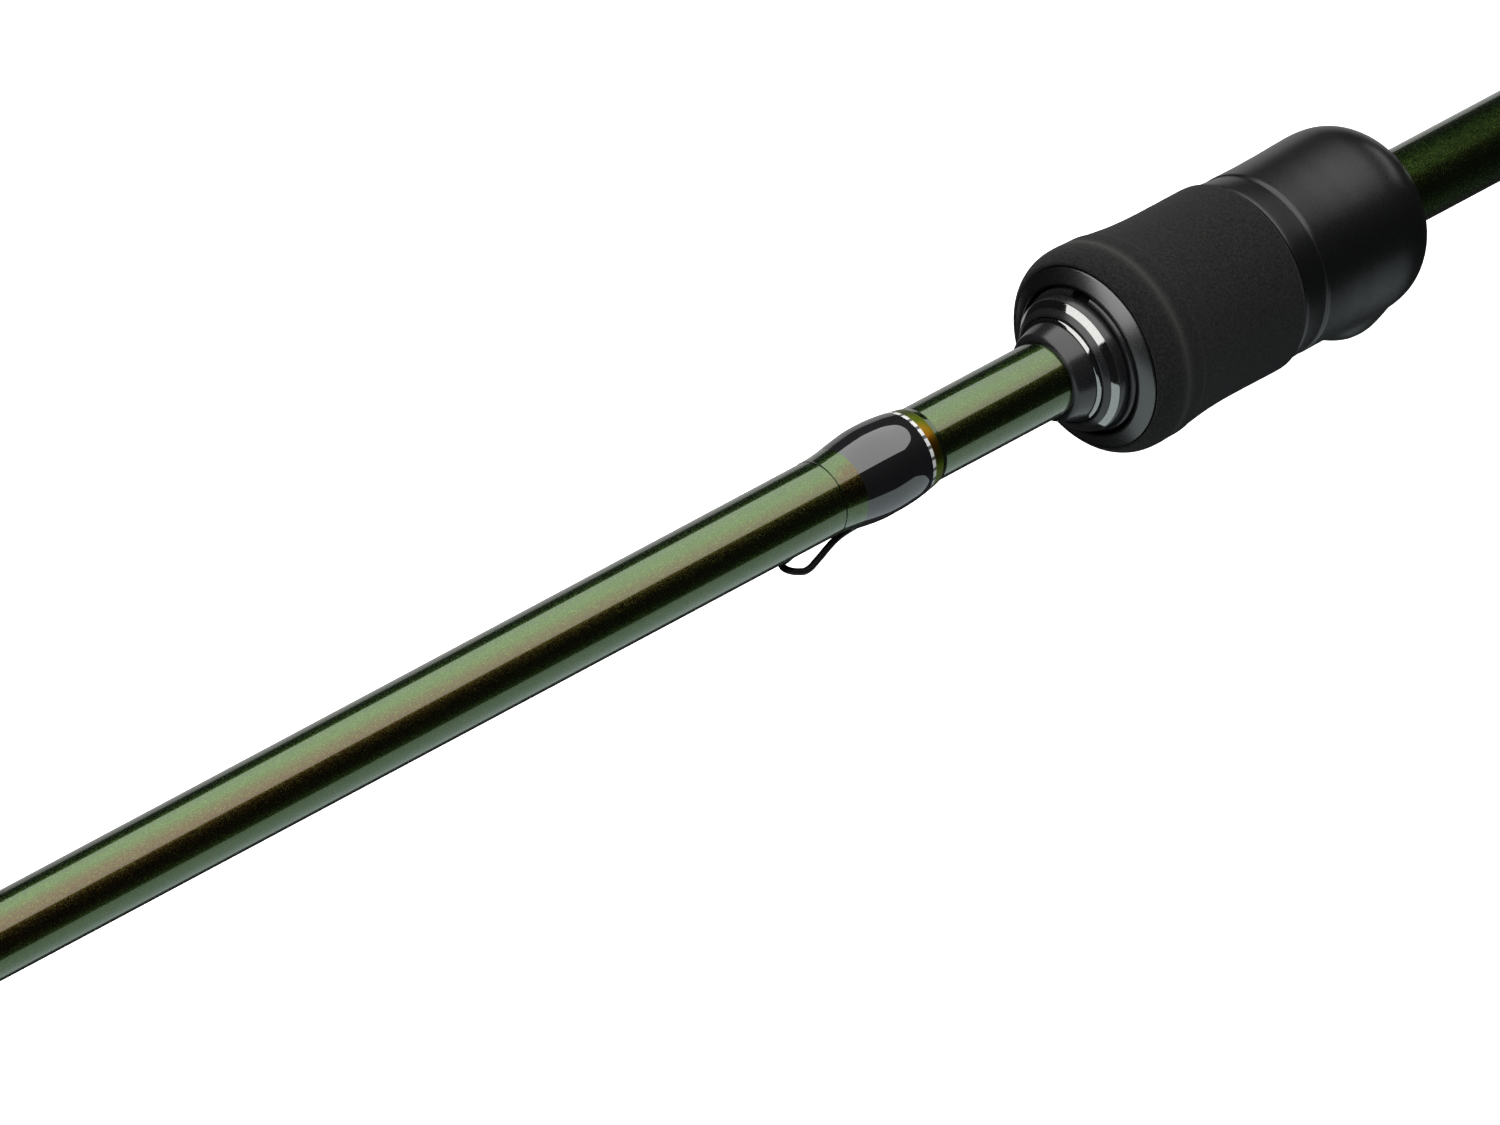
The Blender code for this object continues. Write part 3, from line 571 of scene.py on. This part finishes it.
def build_winding_check():
    """A satin cone with a bright lip, a step, then a polished bevel in front of a collar."""
    rings = {
        "winding_check_cone": ("satin", [(3.55, 6.5), (3.3, 6.52), (3.15, 6.48), (3.0, 6.44), (1.2, 5.92),
                                         (0.95, 5.8), (0.75, 5.55), (0.62, 5.2), (0.62, 5.02),
                                         (3.55, 5.02)]),
        "winding_check_lip": ("polish", [(4.2, 6.98), (3.8, 6.98), (3.68, 6.93), (3.62, 6.83), (3.47, 6.67),
                                         (3.43, 6.58), (3.6, 6.52), (4.2, 6.52)]),
        "winding_check_step": ("satin", [(4.9, 8.5), (4.6, 8.25), (4.38, 8.0), (4.3, 7.9), (3.9, 7.45),
                                         (3.8, 7.3), (3.8, 7.1), (4.2, 7.0), (4.9, 7.0)]),
        "winding_check_bevel": ("polish", [(5.14, 8.78), (5.02, 8.7), (4.4, 8.06), (4.42, 7.9),
                                           (4.95, 7.6), (5.14, 7.6)]),
        "winding_check_collar": ("satin", [(6.6, 8.9), (5.35, 8.9), (5.2, 8.84), (5.16, 8.74),
                                           (5.16, 7.7), (6.6, 7.7)]),
    }
    for name, (material, outline) in rings.items():
        turn(name, back_from_check(outline), "butt_section", material,
             sides=GRIP_SIDES, replaced=("winding_check",), sharp=50)


# Fronts, rears and starts are distances back from the winding check's front edge
BARREL_FRONT = 6.9
BARREL_REAR = 57.9
BARREL_R = 9.6
FOOT_BED = 7.0               # distance from the rod's axis down to the bed of the reel foot
FOOT_FLAT_START = 46.0
KEYWAY_HALF = 1.4
KEYWAY_FLOOR = 8.2
THREAD_PITCH = 2.0
THREAD_FRONT = 12.5
THREAD_WIRE_R = 0.62         # radius of the six-sided section that is wound into the thread


def keyway_and_flat(piece):
    """Cut the key slot along the top of the barrel and the bed for the reel foot below."""
    front, rear = behind(BARREL_FRONT), behind(BARREL_REAR)
    carve(piece, block((rear - 2, -KEYWAY_HALF, KEYWAY_FLOOR), (front + 2, KEYWAY_HALF, 12)))
    carve(piece, block((rear - 2, -12, -13), (behind(FOOT_FLAT_START), 12, -FOOT_BED - 0.15)))
    return piece


def build_barrel():
    """Screw barrel: a smooth collar in front, then a real thread cut by the keyway and flat."""
    core_r = BARREL_R - 0.45
    bore_r = butt_radius(behind(BARREL_REAR)) + 0.9
    collar = [(BARREL_REAR, core_r - 0.4), (BARREL_REAR - 0.5, core_r), (10.2, core_r), (9.8, BARREL_R),
              (7.6, BARREL_R), (7.35, BARREL_R - 0.02), (7.1, BARREL_R - 0.14), (6.95, BARREL_R - 0.4),
              (BARREL_FRONT, BARREL_R - 0.7), (BARREL_FRONT, bore_r), (BARREL_REAR, bore_r)]
    draw_out(back_from_check(collar), GRIP_SIDES)
    close_up()
    barrel = keyway_and_flat(bpy.context.object)

    deselect()
    bpy.ops.mesh.primitive_circle_add(vertices=6, radius=THREAD_WIRE_R * MM, fill_type="NOTHING",
                                      location=(behind(BARREL_REAR - 1.2) * MM, 0, (core_r - 0.05) * MM),
                                      rotation=(pi / 2, 0, 0))
    bpy.ops.object.transform_apply(location=True, rotation=True, scale=True)
    ridge = bpy.context.object
    screw = ridge.modifiers.new("thread", "SCREW")
    screw.axis = "X"
    screw.screw_offset = THREAD_PITCH * MM
    screw.iterations = int((BARREL_REAR - THREAD_FRONT) / THREAD_PITCH)
    screw.steps = screw.render_steps = 64
    bpy.ops.object.modifier_apply(modifier=screw.name)
    bpy.ops.object.mode_set(mode="EDIT")
    bpy.ops.mesh.select_all(action="SELECT")
    bpy.ops.mesh.fill_holes(sides=0)
    bpy.ops.mesh.select_all(action="SELECT")
    bpy.ops.mesh.normals_make_consistent(inside=False)
    bpy.ops.object.mode_set(mode="OBJECT")
    join_pieces([barrel, keyway_and_flat(ridge)])
    settle("threaded_barrel_screw", "butt_section", "satin", ("threaded_barrel",))


# ---------------------------------------------------------------- locking nut and its grip

def build_nut():
    """Chamfered ring and the foam grip that turns with it."""
    ring = [(9.3, 12.05), (8.25, 12.05), (8.08, 12.0), (7.98, 11.9), (7.12, 10.45), (7.04, 10.3),
            (7.02, 10.15), (7.1, 10.0), (7.3, 9.95), (9.3, 9.95)]
    turn("nut_chamfer_ring", back_from_check(ring), "locking_nut", "ring",
         sides=GRIP_SIDES, replaced=("nut_trim_ring",), sharp=50)
    shape = through([(35.0, 12.45), (34.9, 12.7), (34.6, 12.88), (33.8, 12.95), (29.0, 12.9),
                     (24.0, 12.9), (20.0, 13.1), (16.6, 13.46), (15.7, 13.56), (15.1, 13.72), (14.5, 13.75),
                     (13.5, 13.77), (11.5, 13.82), (10.1, 13.66),
                     (9.0, 13.22), (8.35, 12.7), (8.2, 12.38), (8.4, 12.14), (9.0, 12.08)], 4)
    inside = [(9.5, 12.08), (9.7, 11.5), (35.0, 11.5)]
    grip = turn("fore_grip_foam", back_from_check(shape + inside), "locking_nut", "foam_painted_highlight",
                sides=GRIP_SIDES, replaced=("fore_grip",), sharp=60)


# ---------------------------------------------------------------- hoods

HOUSING_HALF_WIDTH = 8.6
HOUSING_SQUARENESS = 3.0
SOFT_JOIN = 30               # how tightly the housing's sides meet the round part
POCKET_HALF_WIDTH = 6.8
POCKET_FLOOR = 12.4
POCKET_ROUNDING = 4.0
KEY_PLAY = 0.4               # play of the hood's key in the keyway, on each side and below


def swell_housing(piece, stations):
    """Push the underside of a turned shell down into a housing. Stations are (x, radius, depth)."""
    stations = sorted(stations)
    for vertex in piece.data.vertices:
        x, y, z = vertex.co / MM
        reach = hypot(y, z)
        if z >= 0 or reach < 1:
            continue
        depth = stations[0][2]
        for (x0, _, depth0), (x1, _, depth1) in zip(stations, stations[1:]):
            if x0 <= x <= x1 + 0.001:
                depth = depth0 + (depth1 - depth0) * (x - x0) / max(x1 - x0, 0.001)
        side, down = abs(y) / reach / HOUSING_HALF_WIDTH, -z / reach / depth
        housing = (side ** HOUSING_SQUARENESS + down ** HOUSING_SQUARENESS) ** (-1 / HOUSING_SQUARENESS)
        wider = (reach ** SOFT_JOIN + housing ** SOFT_JOIN) ** (1 / SOFT_JOIN)
        vertex.co.y *= wider / reach
        vertex.co.z *= wider / reach


def foot_pocket(x0, x1, top):
    """A cutter for the pocket that takes one end of the reel foot, rounded below."""
    pocket = block((x0, -POCKET_HALF_WIDTH, -POCKET_FLOOR), (x1, POCKET_HALF_WIDTH, -top))
    bpy.ops.object.mode_set(mode="EDIT")
    bpy.ops.mesh.select_mode(type="EDGE")
    bpy.ops.mesh.select_all(action="DESELECT")
    bpy.ops.object.mode_set(mode="OBJECT")
    floor = (-POCKET_FLOOR + 0.01) * MM
    for edge in pocket.data.edges:
        ends = [pocket.data.vertices[i].co for i in edge.vertices]
        edge.select = all(end.z < floor for end in ends) and abs(ends[0].x - ends[1].x) > MM
    bpy.ops.object.mode_set(mode="EDIT")
    bpy.ops.mesh.bevel(offset=POCKET_ROUNDING * MM, segments=8, affect="EDGES")
    bpy.ops.object.mode_set(mode="OBJECT")
    return pocket


def build_front_hood():
    """Sliding hood: neck, fine ridge, round back and the foot housing below."""
    neck = through([(35.3, 12.37, 10.5), (35.5, 12.52, 10.5), (37.5, 12.4, 10.5), (39.0, 12.25, 10.6)], 4)
    ridge = [(39.25, 12.24, 10.6), (39.36, 12.27, 10.6), (39.45, 12.37, 10.7), (39.6, 12.41, 10.8)]
    back = through([(40.0, 12.4, 10.9), (42.0, 12.38, 11.2), (44.0, 12.38, 11.7), (46.0, 12.42, 12.5),
                    (48.0, 12.47, 13.5), (50.0, 12.55, 14.5), (52.0, 12.63, 15.2), (54.0, 12.69, 15.4),
                    (55.5, 12.62, 15.0), (57.0, 12.33, 14.0), (58.5, 11.7, 12.4), (60.0, 10.62, 10.7),
                    (61.2, 9.25, 9.25), (61.8, 8.1, 8.1), (62.0, 7.2, 7.2)], 4)
    stations = back_from_check(neck + ridge + back)
    shell = plug(stations)
    swell_housing(shell, stations)
    bore_r, eye_r = 9.95, butt_radius(behind(94)) + 0.7
    passage = back_from_check([(66, eye_r), (58.3, eye_r), (58.2, bore_r), (30, bore_r)])
    carve(shell, plug(passage))
    carve(shell, foot_pocket(behind(65), behind(50.5), 4.5))
    carve(shell, block((behind(56), KEY_PLAY - KEYWAY_HALF, KEYWAY_FLOOR + KEY_PLAY),
                       (behind(38), KEYWAY_HALF - KEY_PLAY, bore_r + 1)), "UNION")
    settle("front_hood_shell", "front_hood", "hood", ("front_hood",), sharp=30)


def build_seat_rear():
    """Fixed half of the seat: check ring, short foam grip, body with its hood, and foot bed."""
    start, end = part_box("seat_rear_body")[0].x / MM, 288.0
    check = [(198.0, 5.9), (198.2, 6.3), (199.8, 7.1), (200.1, 7.3), (200.15, 8.1), (200.4, 8.5),
             (202.2, 9.1), (202.5, 9.2), (202.7, 9.1)]
    turn("seat_rear_check_rings", sleeve(check), "butt_section", "satin",
         sides=GRIP_SIDES, replaced=("seat_rear_check",), sharp=50)
    shape = through([(203.0, 9.0), (203.2, 9.5), (204.0, 10.1), (206.5, 10.75), (211.0, 11.4),
                     (218.0, 12.15), (225.0, 12.6), (229.5, 12.7), (230.5, 12.6), (230.7, 12.35)], 4)
    grip = turn("seat_rear_grip_foam", sleeve(shape), "butt_section", "foam",
                sides=GRIP_SIDES, replaced=("seat_rear_grip",), sharp=60)

    stations = through([(start, 12.35, 10.5), (start + 0.3, 12.55, 10.5), (236.0, 12.45, 10.5),
                        (244.0, 12.3, 10.7), (252.0, 12.3, 11.0), (259.0, 12.4, 11.8),
                        (264.0, 12.5, 13.0), (268.0, 12.6, 14.3), (272.5, 12.65, 15.1),
                        (276.5, 12.6, 15.1), (280.0, 12.4, 14.2), (283.0, 11.8, 12.6),
                        (285.5, 10.6, 10.8), (287.2, 9.0, 9.0), (end - 0.2, 7.9, 7.9), (end, 7.2, 7.2)], 4)
    shell = plug(stations)
    swell_housing(shell, stations)
    carve(shell, block((end - 6, -5.9, -FOOT_BED), (306, 5.9, -3.4), 0.8), "UNION")
    bore_r = butt_radius(start) + 0.9
    carve(shell, plug([(start - 5, bore_r), (311, bore_r)]))
    carve(shell, foot_pocket(268.5, end + 0.8, FOOT_BED - 0.3))
    settle("seat_body_shell", "butt_section", "hood", ("seat_rear_body",), sharp=30)


def build_butt_end():
    """Rubber cap, trim ring, rear foam grip and its check ring."""
    cap = [(0.0, 11.4), (0.15, 11.9), (0.6, 12.7), (1.4, 13.3), (2.2, 13.55), (3.0, 13.6), (6.4, 13.6),
           (6.55, 13.35), (6.95, 13.35), (7.1, 13.6), (8.2, 13.6), (8.7, 13.45), (9.0, 13.1)]
    cup = plug(cap)
    socket_r = butt_radius(BLANK_START) + 0.15
    carve(cup, plug([(BLANK_START - 0.3, socket_r), (12, socket_r)]))
    settle("butt_cap_rubber", "butt_section", "rubber", ("butt_cap",), sharp=50)

    band = [(9.3, 13.2), (9.45, 13.5), (9.8, 13.7), (11.1, 13.7), (11.45, 13.5), (11.6, 13.2)]
    turn("butt_trim_band", sleeve(band), "butt_section", "ring", sides=GRIP_SIDES,
         replaced=("butt_trim_ring",))
    shape = through([(11.9, 13.0), (12.1, 13.4), (13.1, 13.8), (18.0, 13.98), (25.0, 14.0), (34.0, 13.75),
                     (48.0, 12.6), (62.0, 11.25), (76.0, 10.3), (88.0, 9.9), (91.2, 9.6), (91.9, 9.3),
                     (92.0, 9.0)], 5)
    grip = turn("rear_grip_foam", sleeve(shape), "butt_section", "foam", sides=GRIP_SIDES,
                replaced=("rear_grip",), sharp=60)
    check = [(92.3, 8.7), (92.5, 8.9), (93.3, 8.9), (93.6, 8.7), (93.7, 7.9), (94.0, 7.7), (95.2, 7.4),
             (96.7, 6.6), (97.0, 6.2)]
    turn("rear_grip_check_rings", sleeve(check), "butt_section", "satin",
         sides=GRIP_SIDES, replaced=("rear_grip_check",), sharp=50)


# ---------------------------------------------------------------- keeper, wraps and trims

KEEPER_WIRE_R = 0.46
KEEPER_HALF_WIDTH = 1.7
KEEPER_BULGE = 0.5           # rise of the epoxy over the wires
BULGE_REACH = 38             # degrees from straight down to where the rise has died away
BULGE_FALL = 22              # degrees over which it dies away


def build_keeper():
    """Bent wire loop and the spindle of epoxy over its thread wrap, with two trim bands."""
    wrap = [(-38.6, 4.907), (-37.6, 4.95), (-36.4, 5.05), (-35.0, 5.2), (-33.6, 5.41), (-32.0, 5.64),
            (-30.5, 5.81), (-29.0, 5.87), (-27.5, 5.84), (-26.0, 5.75), (-24.8, 5.61), (-23.7, 5.45),
            (-22.7, 5.28), (-22.1, 5.15), (-21.7, 5.04), (-21.4, 4.955)]
    spindle = through(back_from_check(wrap), 6)

    def part(name, start, end, material, slot, node):
        """One length of the spindle, bulging underneath where the wires run through it."""
        inside = [p for p in spindle if behind(start) - 0.001 > p[0] > behind(end) + 0.001]

        def height(x):
            for (x0, r0), (x1, r1) in zip(spindle, spindle[1:]):
                if x1 <= x <= x0:
                    return r0 + (r1 - r0) * (x - x0) / (x1 - x0)
            return spindle[-1][1]
        ends = [(behind(start), height(behind(start))), (behind(end), height(behind(end)))]
        turn(name, sleeve([ends[0]] + inside + [ends[1]], gap=0.004), "butt_section", material,
             sides=GRIP_SIDES, replaced=(node,), sharp=60)
        piece = bpy.data.objects[name]
        for vertex in piece.data.vertices:
            x, y, z = vertex.co / MM
            reach = hypot(y, z)
            if reach < blank_radius(x) + 0.03:
                continue
            below = degrees(abs(atan2(y, -z)))
            along = min(1.0, (behind(-38) - x) / 3.5, (x - behind(-23.8)) / 2.6)
            across = min(1.0, (BULGE_REACH - below) / BULGE_FALL)
            share = max(0.0, along) * max(0.0, across)
            bulge = KEEPER_BULGE * share ** 2 * (3 - 2 * share)
            vertex.co.y *= (reach + bulge) / reach
            vertex.co.z *= (reach + bulge) / reach
        return piece

    part("keeper_epoxy_front", -38.6, -35.2, "paint", "green_blank", "keeper_wrap")
    part("keeper_thread", -35.2, -24.35, "black_wrap", "black_thread", "keeper_wrap")
    part("silver_band", -24.35, -23.75, "silver", "silver_thread", "silver_trim")
    part("gold_band", -23.75, -22.2, "gold", "gold_thread", "gold_trim")
    part("keeper_epoxy_rear", -22.2, -21.4, "paint", "green_blank", "gold_trim")

    rest_r = butt_radius(behind(-30)) + 0.15 + KEEPER_WIRE_R
    leg_z = -sqrt(rest_r ** 2 - KEEPER_HALF_WIDTH ** 2)
    bend_x, bend_z = behind(-42.3), -7.85
    leg = [(behind(-25.5), leg_z), (behind(-35.8), leg_z), (behind(-37.2), leg_z - 0.3),
           (behind(-38.6), leg_z - 0.9), (behind(-40.2), leg_z - 1.8), (bend_x, bend_z)]
    near = [(x, KEEPER_HALF_WIDTH, z) for x, z in leg]
    loop = [(bend_x + 1.9 * sin(a), KEEPER_HALF_WIDTH * cos(a), bend_z + 0.3 * sin(a))
            for a in (pi * i / 6 for i in range(1, 6))]
    far = [(x, -y, z) for x, y, z in reversed(near)]
    bent_wire(near + loop + far, KEEPER_WIRE_R)
    settle("keeper_wire_loop", "butt_section", "wire", ("hook_keeper",))


def build_ferrule_wraps():
    """Thread wrap and silver trim that hoop the open end of the tip section."""
    def over_tip(points):
        return [(TIP_START + along, tip_radius(TIP_START + along) + cover) for along, cover in points]
    thread = through(over_tip([(0.6, 0.06), (1.4, 0.25), (3.0, 0.5), (7.0, 0.62), (18.0, 0.62),
                               (22.5, 0.5), (25.0, 0.36)]), 4)
    turn("ferrule_thread", sleeve(thread), "tip_section", "black_wrap",
         replaced=("ferrule_wrap",), sharp=60)
    trim = over_tip([(25.05, 0.36), (26.0, 0.3), (27.0, 0.2)])
    turn("ferrule_trim_band", sleeve(trim), "tip_section", "silver",
         replaced=("ferrule_trim",), sharp=60)


# ---------------------------------------------------------------- guides

def foot_thickness(ring):
    return 0.45 + ring * 0.018


def foot_width(ring):
    return 1.1 + ring * 0.07


def ceramic_outline(x, ring):
    """Section of a ceramic ring, round on its inner side where the line runs."""
    outer = ring / 2 - 0.75
    wall = 0.45 + ring * 0.055
    half = 0.6 + ring * 0.03
    lip = [(x + half * cos(a), outer - wall + wall * 0.7 * (1 - sin(a)))
           for a in (pi * i / 10 for i in range(11))]
    return [(x - half, outer), (x + half, outer)] + lip


def band_outline(x, ring):
    """Section of the band that holds the ceramic ring, with its edges rounded."""
    outer, inner = ring / 2, ring / 2 - 0.7
    half = 0.45 + ring * 0.02
    edge = 0.22
    corner = [(x + half - edge + edge * sin(a), outer - edge + edge * cos(a))
              for a in (pi / 2 * i / 3 for i in range(4))]
    mirrored = [(2 * x - cx, cr) for cx, cr in reversed(corner)]
    return mirrored + corner + [(x + half, inner), (x - half, inner)]


def guide_foot(root_x, end_x, ring):
    """A tapered tongue along the underside of the blank."""
    thickness, width = foot_thickness(ring), foot_width(ring)
    low_x, high_x = min(root_x, end_x), max(root_x, end_x)
    tongue = block((low_x, -width / 2, -blank_radius(low_x) - thickness),
                   (high_x, width / 2, -blank_radius(low_x) + 0.1), thickness * 0.3)
    for vertex in tongue.data.vertices:
        share = (vertex.co.x / MM - root_x) / (end_x - root_x)
        vertex.co.y *= 1 - 0.55 * max(0.0, share) ** 2
        under = -vertex.co.z / MM - blank_radius(low_x)
        vertex.co.z = -(blank_radius(vertex.co.x / MM) + under * (1 - 0.5 * max(0.0, share))) * MM
    return tongue


def guide_wrap(name, root_x, end_x, ring, body):
    """Thread and epoxy over one foot: a smooth spindle that bulges over the foot below."""
    thickness, width = foot_thickness(ring), foot_width(ring)
    towards = 1.0 if end_x > root_x else -1.0
    tail = 3.5 if abs(end_x - root_x) > 9 else 2.5
    start, stop = root_x + towards * 1.2, end_x + towards * tail
    length = stop - start
    covers = [(0.0, 0.04), (0.04, 0.2), (0.12, 0.36), (0.3, 0.46), (0.7, 0.46), (0.9, 0.34),
              (0.97, 0.18), (1.0, 0.03)]
    outline = through([(start + length * share, blank_radius(start + length * share) + cover)
                       for share, cover in covers], 5)
    turn(name + "_thread", sleeve(outline), body, "black_wrap", replaced=(name,), sharp=60)
    piece = bpy.data.objects[name + "_thread"]
    for vertex in piece.data.vertices:
        x, y, z = vertex.co / MM
        reach = hypot(y, z)
        if z >= 0 or reach < blank_radius(x) + 0.03:
            continue
        foot = 1 - max(0.0, min(1.0, (x - root_x) / (end_x - root_x)))
        rise = min(1.0, 1.2 * foot + 0.25) if towards * (end_x - x) > 0 else max(
            0.0, 0.25 * (1 - towards * (x - end_x) / tail))
        slope = max(0.0, 1 - max(0.0, abs(y) - width * 0.45) / (thickness * 2.2 + 0.6))
        bulge = (thickness + 0.15) * rise * slope * slope * (3 - 2 * slope)
        vertex.co.y *= (reach + bulge) / reach
        vertex.co.z *= (reach + bulge) / reach


def build_guide(name, body):
    """One line guide: frame on one or two feet, ceramic ring, and a wrap over each foot."""
    low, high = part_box(name + "_ring")
    x, centre_z = (low.x + high.x) / 2 / MM, (low.z + high.z) / 2 / MM
    ring = (high.z - low.z) / MM + 1.7
    two_feet = name + "_rear_wrap" in frame["nodes"]
    draw_out(band_outline(x, ring), GUIDE_SIDES, centre_z)
    close_up()
    parts = [bpy.context.object]
    feet = [("front", 1.0, radians(38))]
    if two_feet:
        feet.append(("rear", -1.0, radians(72)))
    for label, towards, angle in feet:
        wrap = f"{name}_{label}_wrap" if two_feet else name + "_wrap"
        low_x, high_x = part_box(wrap)[0].x / MM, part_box(wrap)[1].x / MM
        tail = 3.5 if high_x - low_x > 11 else 2.5
        root_x = (low_x if towards > 0 else high_x) - towards * 1.2
        end_x = (high_x if towards > 0 else low_x) - towards * tail
        parts.append(guide_foot(root_x - towards * 0.6, end_x, ring))
        leg_r = foot_thickness(ring) * 0.62
        foot_z = -(blank_radius(root_x) + foot_thickness(ring) * 0.55)
        reach = ring / 2 - 0.2
        for side in (1, -1):
            top = Vector((x, side * reach * sin(angle), centre_z + reach * cos(angle)))
            root = Vector((root_x + towards * 0.8, side * foot_width(ring) * 0.2, foot_z))
            knee = top.lerp(root, 0.55) + Vector(((root_x - x) * 0.12, side * ring * 0.035, 0))
            parts.append(bent_wire([top, knee, root, root + Vector((towards * 1.6, 0, 0.05))], leg_r, 6))
        guide_wrap(wrap, root_x, end_x, ring, body)
    join_pieces(parts)
    settle(name + "_frame_steel", body, "steel", (name + "_frame",))
    turn(name + "_ring_ceramic", ceramic_outline(x, ring), body, "ceramic",
         sides=GUIDE_SIDES, centre_z=centre_z, replaced=(name + "_ring",), sharp=50)


def build_tip_top():
    """Tube over the end of the tip with its small ring on two struts, and a wrap behind it."""
    low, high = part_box("tip_top_ring")
    ring_x, centre_z = (low.x + high.x) / 2 / MM, (low.z + high.z) / 2 / MM
    ring = 6.0
    tube_start = TIP_END - 12
    tube_r = tip_radius(tube_start) + 0.15
    outer_r = tube_r + 0.42
    tube = plug([(tube_start, outer_r - 0.12), (tube_start + 0.12, outer_r), (TIP_END + 0.6, outer_r),
                 (TIP_END + 1.0, outer_r - 0.25), (TIP_END + 1.2, outer_r - 0.7)], BLANK_SIDES // 2)
    carve(tube, plug([(tube_start - 2, tube_r), (TIP_END + 0.3, tube_r - 0.02)], BLANK_SIDES // 2))
    draw_out(band_outline(ring_x, ring), GUIDE_SIDES, centre_z)
    close_up()
    parts = [tube, bpy.context.object]
    for side in (1, -1):
        parts.append(bent_wire([(TIP_END - 7, side * 0.8, -1.25), (TIP_END - 4, side * 1.0, -1.6),
                                (TIP_END - 0.5, side * 1.7, -2.5), (ring_x, side * 2.45, centre_z + 1.2)],
                               0.36, 6))
    join_pieces(parts)
    settle("tip_top_tube", "tip_section", "steel", ("tip_top_frame",))
    turn("tip_top_ring_ceramic", ceramic_outline(ring_x, ring), "tip_section", "ceramic",
         sides=GUIDE_SIDES, centre_z=centre_z, replaced=("tip_top_ring",), sharp=50)
    start, stop = tube_start - 6, tube_start - 0.05
    wrap = through([(start, tip_radius(start) + 0.02), (start + 0.6, tip_radius(start) + 0.16),
                    (start + 2.5, tip_radius(start) + 0.42), (stop - 1.0, tip_radius(stop) + 0.55),
                    (stop, tip_radius(stop) + 0.5)], 5)
    turn("tip_top_thread", sleeve(wrap), "tip_section", "black_wrap",
         replaced=("tip_top_wrap",), sharp=60)


# ---------------------------------------------------------------- pieces kept from the frame

KEPT = {"black_rubber": "rubber", "arbor": "arbor", "satin_black": "satin"}


def finish_kept_nodes():
    """Give the pieces that show as they are, inside the seat, their own finishes."""
    slots = {part["node"]: part["material_slot"] for part in frame["record"]["subparts"]}
    for name, node in frame["nodes"].items():
        if node.hide_render:
            continue
        node.data.materials.clear()
        node.data.materials.append(finish[KEPT[slots[name]]])


# ---------------------------------------------------------------- stage, light and camera, in metres

FLOOR_HEIGHT = -0.045
CAMERA_AIM = Vector((0.4843, 0.0042, 0.0))
CAMERA_DISTANCE = 1.0058
CAMERA_AZIMUTH = radians(135.73)
CAMERA_ELEVATION = radians(33.35)
CAMERA_LENS = 201.2          # focal length in millimetres


def softbox(name, place, towards, length, depth, radiance, colour=(1, 1, 1)):
    """A rectangular light with an even face of the radiance given. It isn't seen itself."""
    light = bpy.data.lights.new(name, "AREA")
    light.shape = "RECTANGLE"
    light.size, light.size_y = length, depth
    light.energy = radiance * pi * length * depth
    light.color = colour
    lamp = bpy.data.objects.new(name, light)
    lamp.location = place
    lamp.rotation_euler = (Vector(place) - Vector(towards)).to_track_quat("Z", "Y").to_euler()
    lamp.visible_camera = False
    bpy.context.scene.collection.objects.link(lamp)


def build_stage():
    """A pale floor that glows by itself, a dim world that the camera sees as white, and softboxes."""
    deselect()
    bpy.ops.mesh.primitive_plane_add(size=30, location=(1.0, 0, FLOOR_HEIGHT))
    floor = bpy.context.object
    floor.name = "floor"
    material, tree, shader = new_material("pale_floor", base_color=(0.9, 0.9, 0.9), roughness=0.9)
    shader.inputs["Emission Color"].default_value = (1, 1, 1, 1)
    shader.inputs["Emission Strength"].default_value = 1.0
    floor.data.materials.append(material)
    floor.visible_glossy = False
    floor.visible_diffuse = False
    floor.visible_shadow = False

    world = bpy.data.worlds.new("studio")
    bpy.context.scene.world = world
    world.use_nodes = True
    tree = world.node_tree
    background = tree.nodes["Background"]
    path = tree.nodes.new("ShaderNodeLightPath")
    shade = mix_colours(tree, path.outputs["Is Camera Ray"], (0.016, 0.016, 0.0165), (1.0, 1.0, 1.0))
    tree.links.new(shade, background.inputs[0])
    background.inputs[1].default_value = 1.0

    softbox("overhead_softbox", (1.14, -0.01, 0.2), (1.14, -0.01, 0.0), 1.8, 0.35, 2.2)
    softbox("low_fill", (1.02, 0.157, -0.256), (1.02, 0.0, 0.0), 1.74, 0.42, 0.75, (0.86, 0.97, 1.0))
    softbox("backdrop_glow", (-0.375, -0.6, -0.11), (-0.375, 0.0, -0.11), 1.25, 0.48, 0.45)
    softbox("butt_softbox", (-0.25, 0.0, 0.3), (-0.25, 0.0, 0.0), 0.35, 0.4, 1.5)
    bpy.context.scene.view_settings.view_transform = "Standard"


def build_camera():
    """A long lens in front of the handle, to its left and above, looking back up the rod."""
    level = cos(CAMERA_ELEVATION)
    back = Vector((sin(CAMERA_AZIMUTH) * level, -cos(CAMERA_AZIMUTH) * level, sin(CAMERA_ELEVATION)))
    lens = bpy.data.cameras.new("camera")
    lens.lens = CAMERA_LENS
    lens.clip_start = 0.05
    camera = bpy.data.objects.new("camera", lens)
    camera.location = CAMERA_AIM + back * CAMERA_DISTANCE
    camera.rotation_euler = back.to_track_quat("Z", "Y").to_euler()
    bpy.context.scene.collection.objects.link(camera)
    bpy.context.scene.camera = camera


build_camera()
build_stage()
build_blanks()
build_winding_check()
build_barrel()
build_nut()
build_front_hood()
build_seat_rear()
build_butt_end()
build_keeper()
build_ferrule_wraps()
for guide in ("guide_25", "guide_16", "guide_12", "guide_10", "guide_8", "guide_7", "guide_6"):
    build_guide(guide, "butt_section" if guide == "guide_25" else "tip_section")
build_tip_top()
finish_kept_nodes()
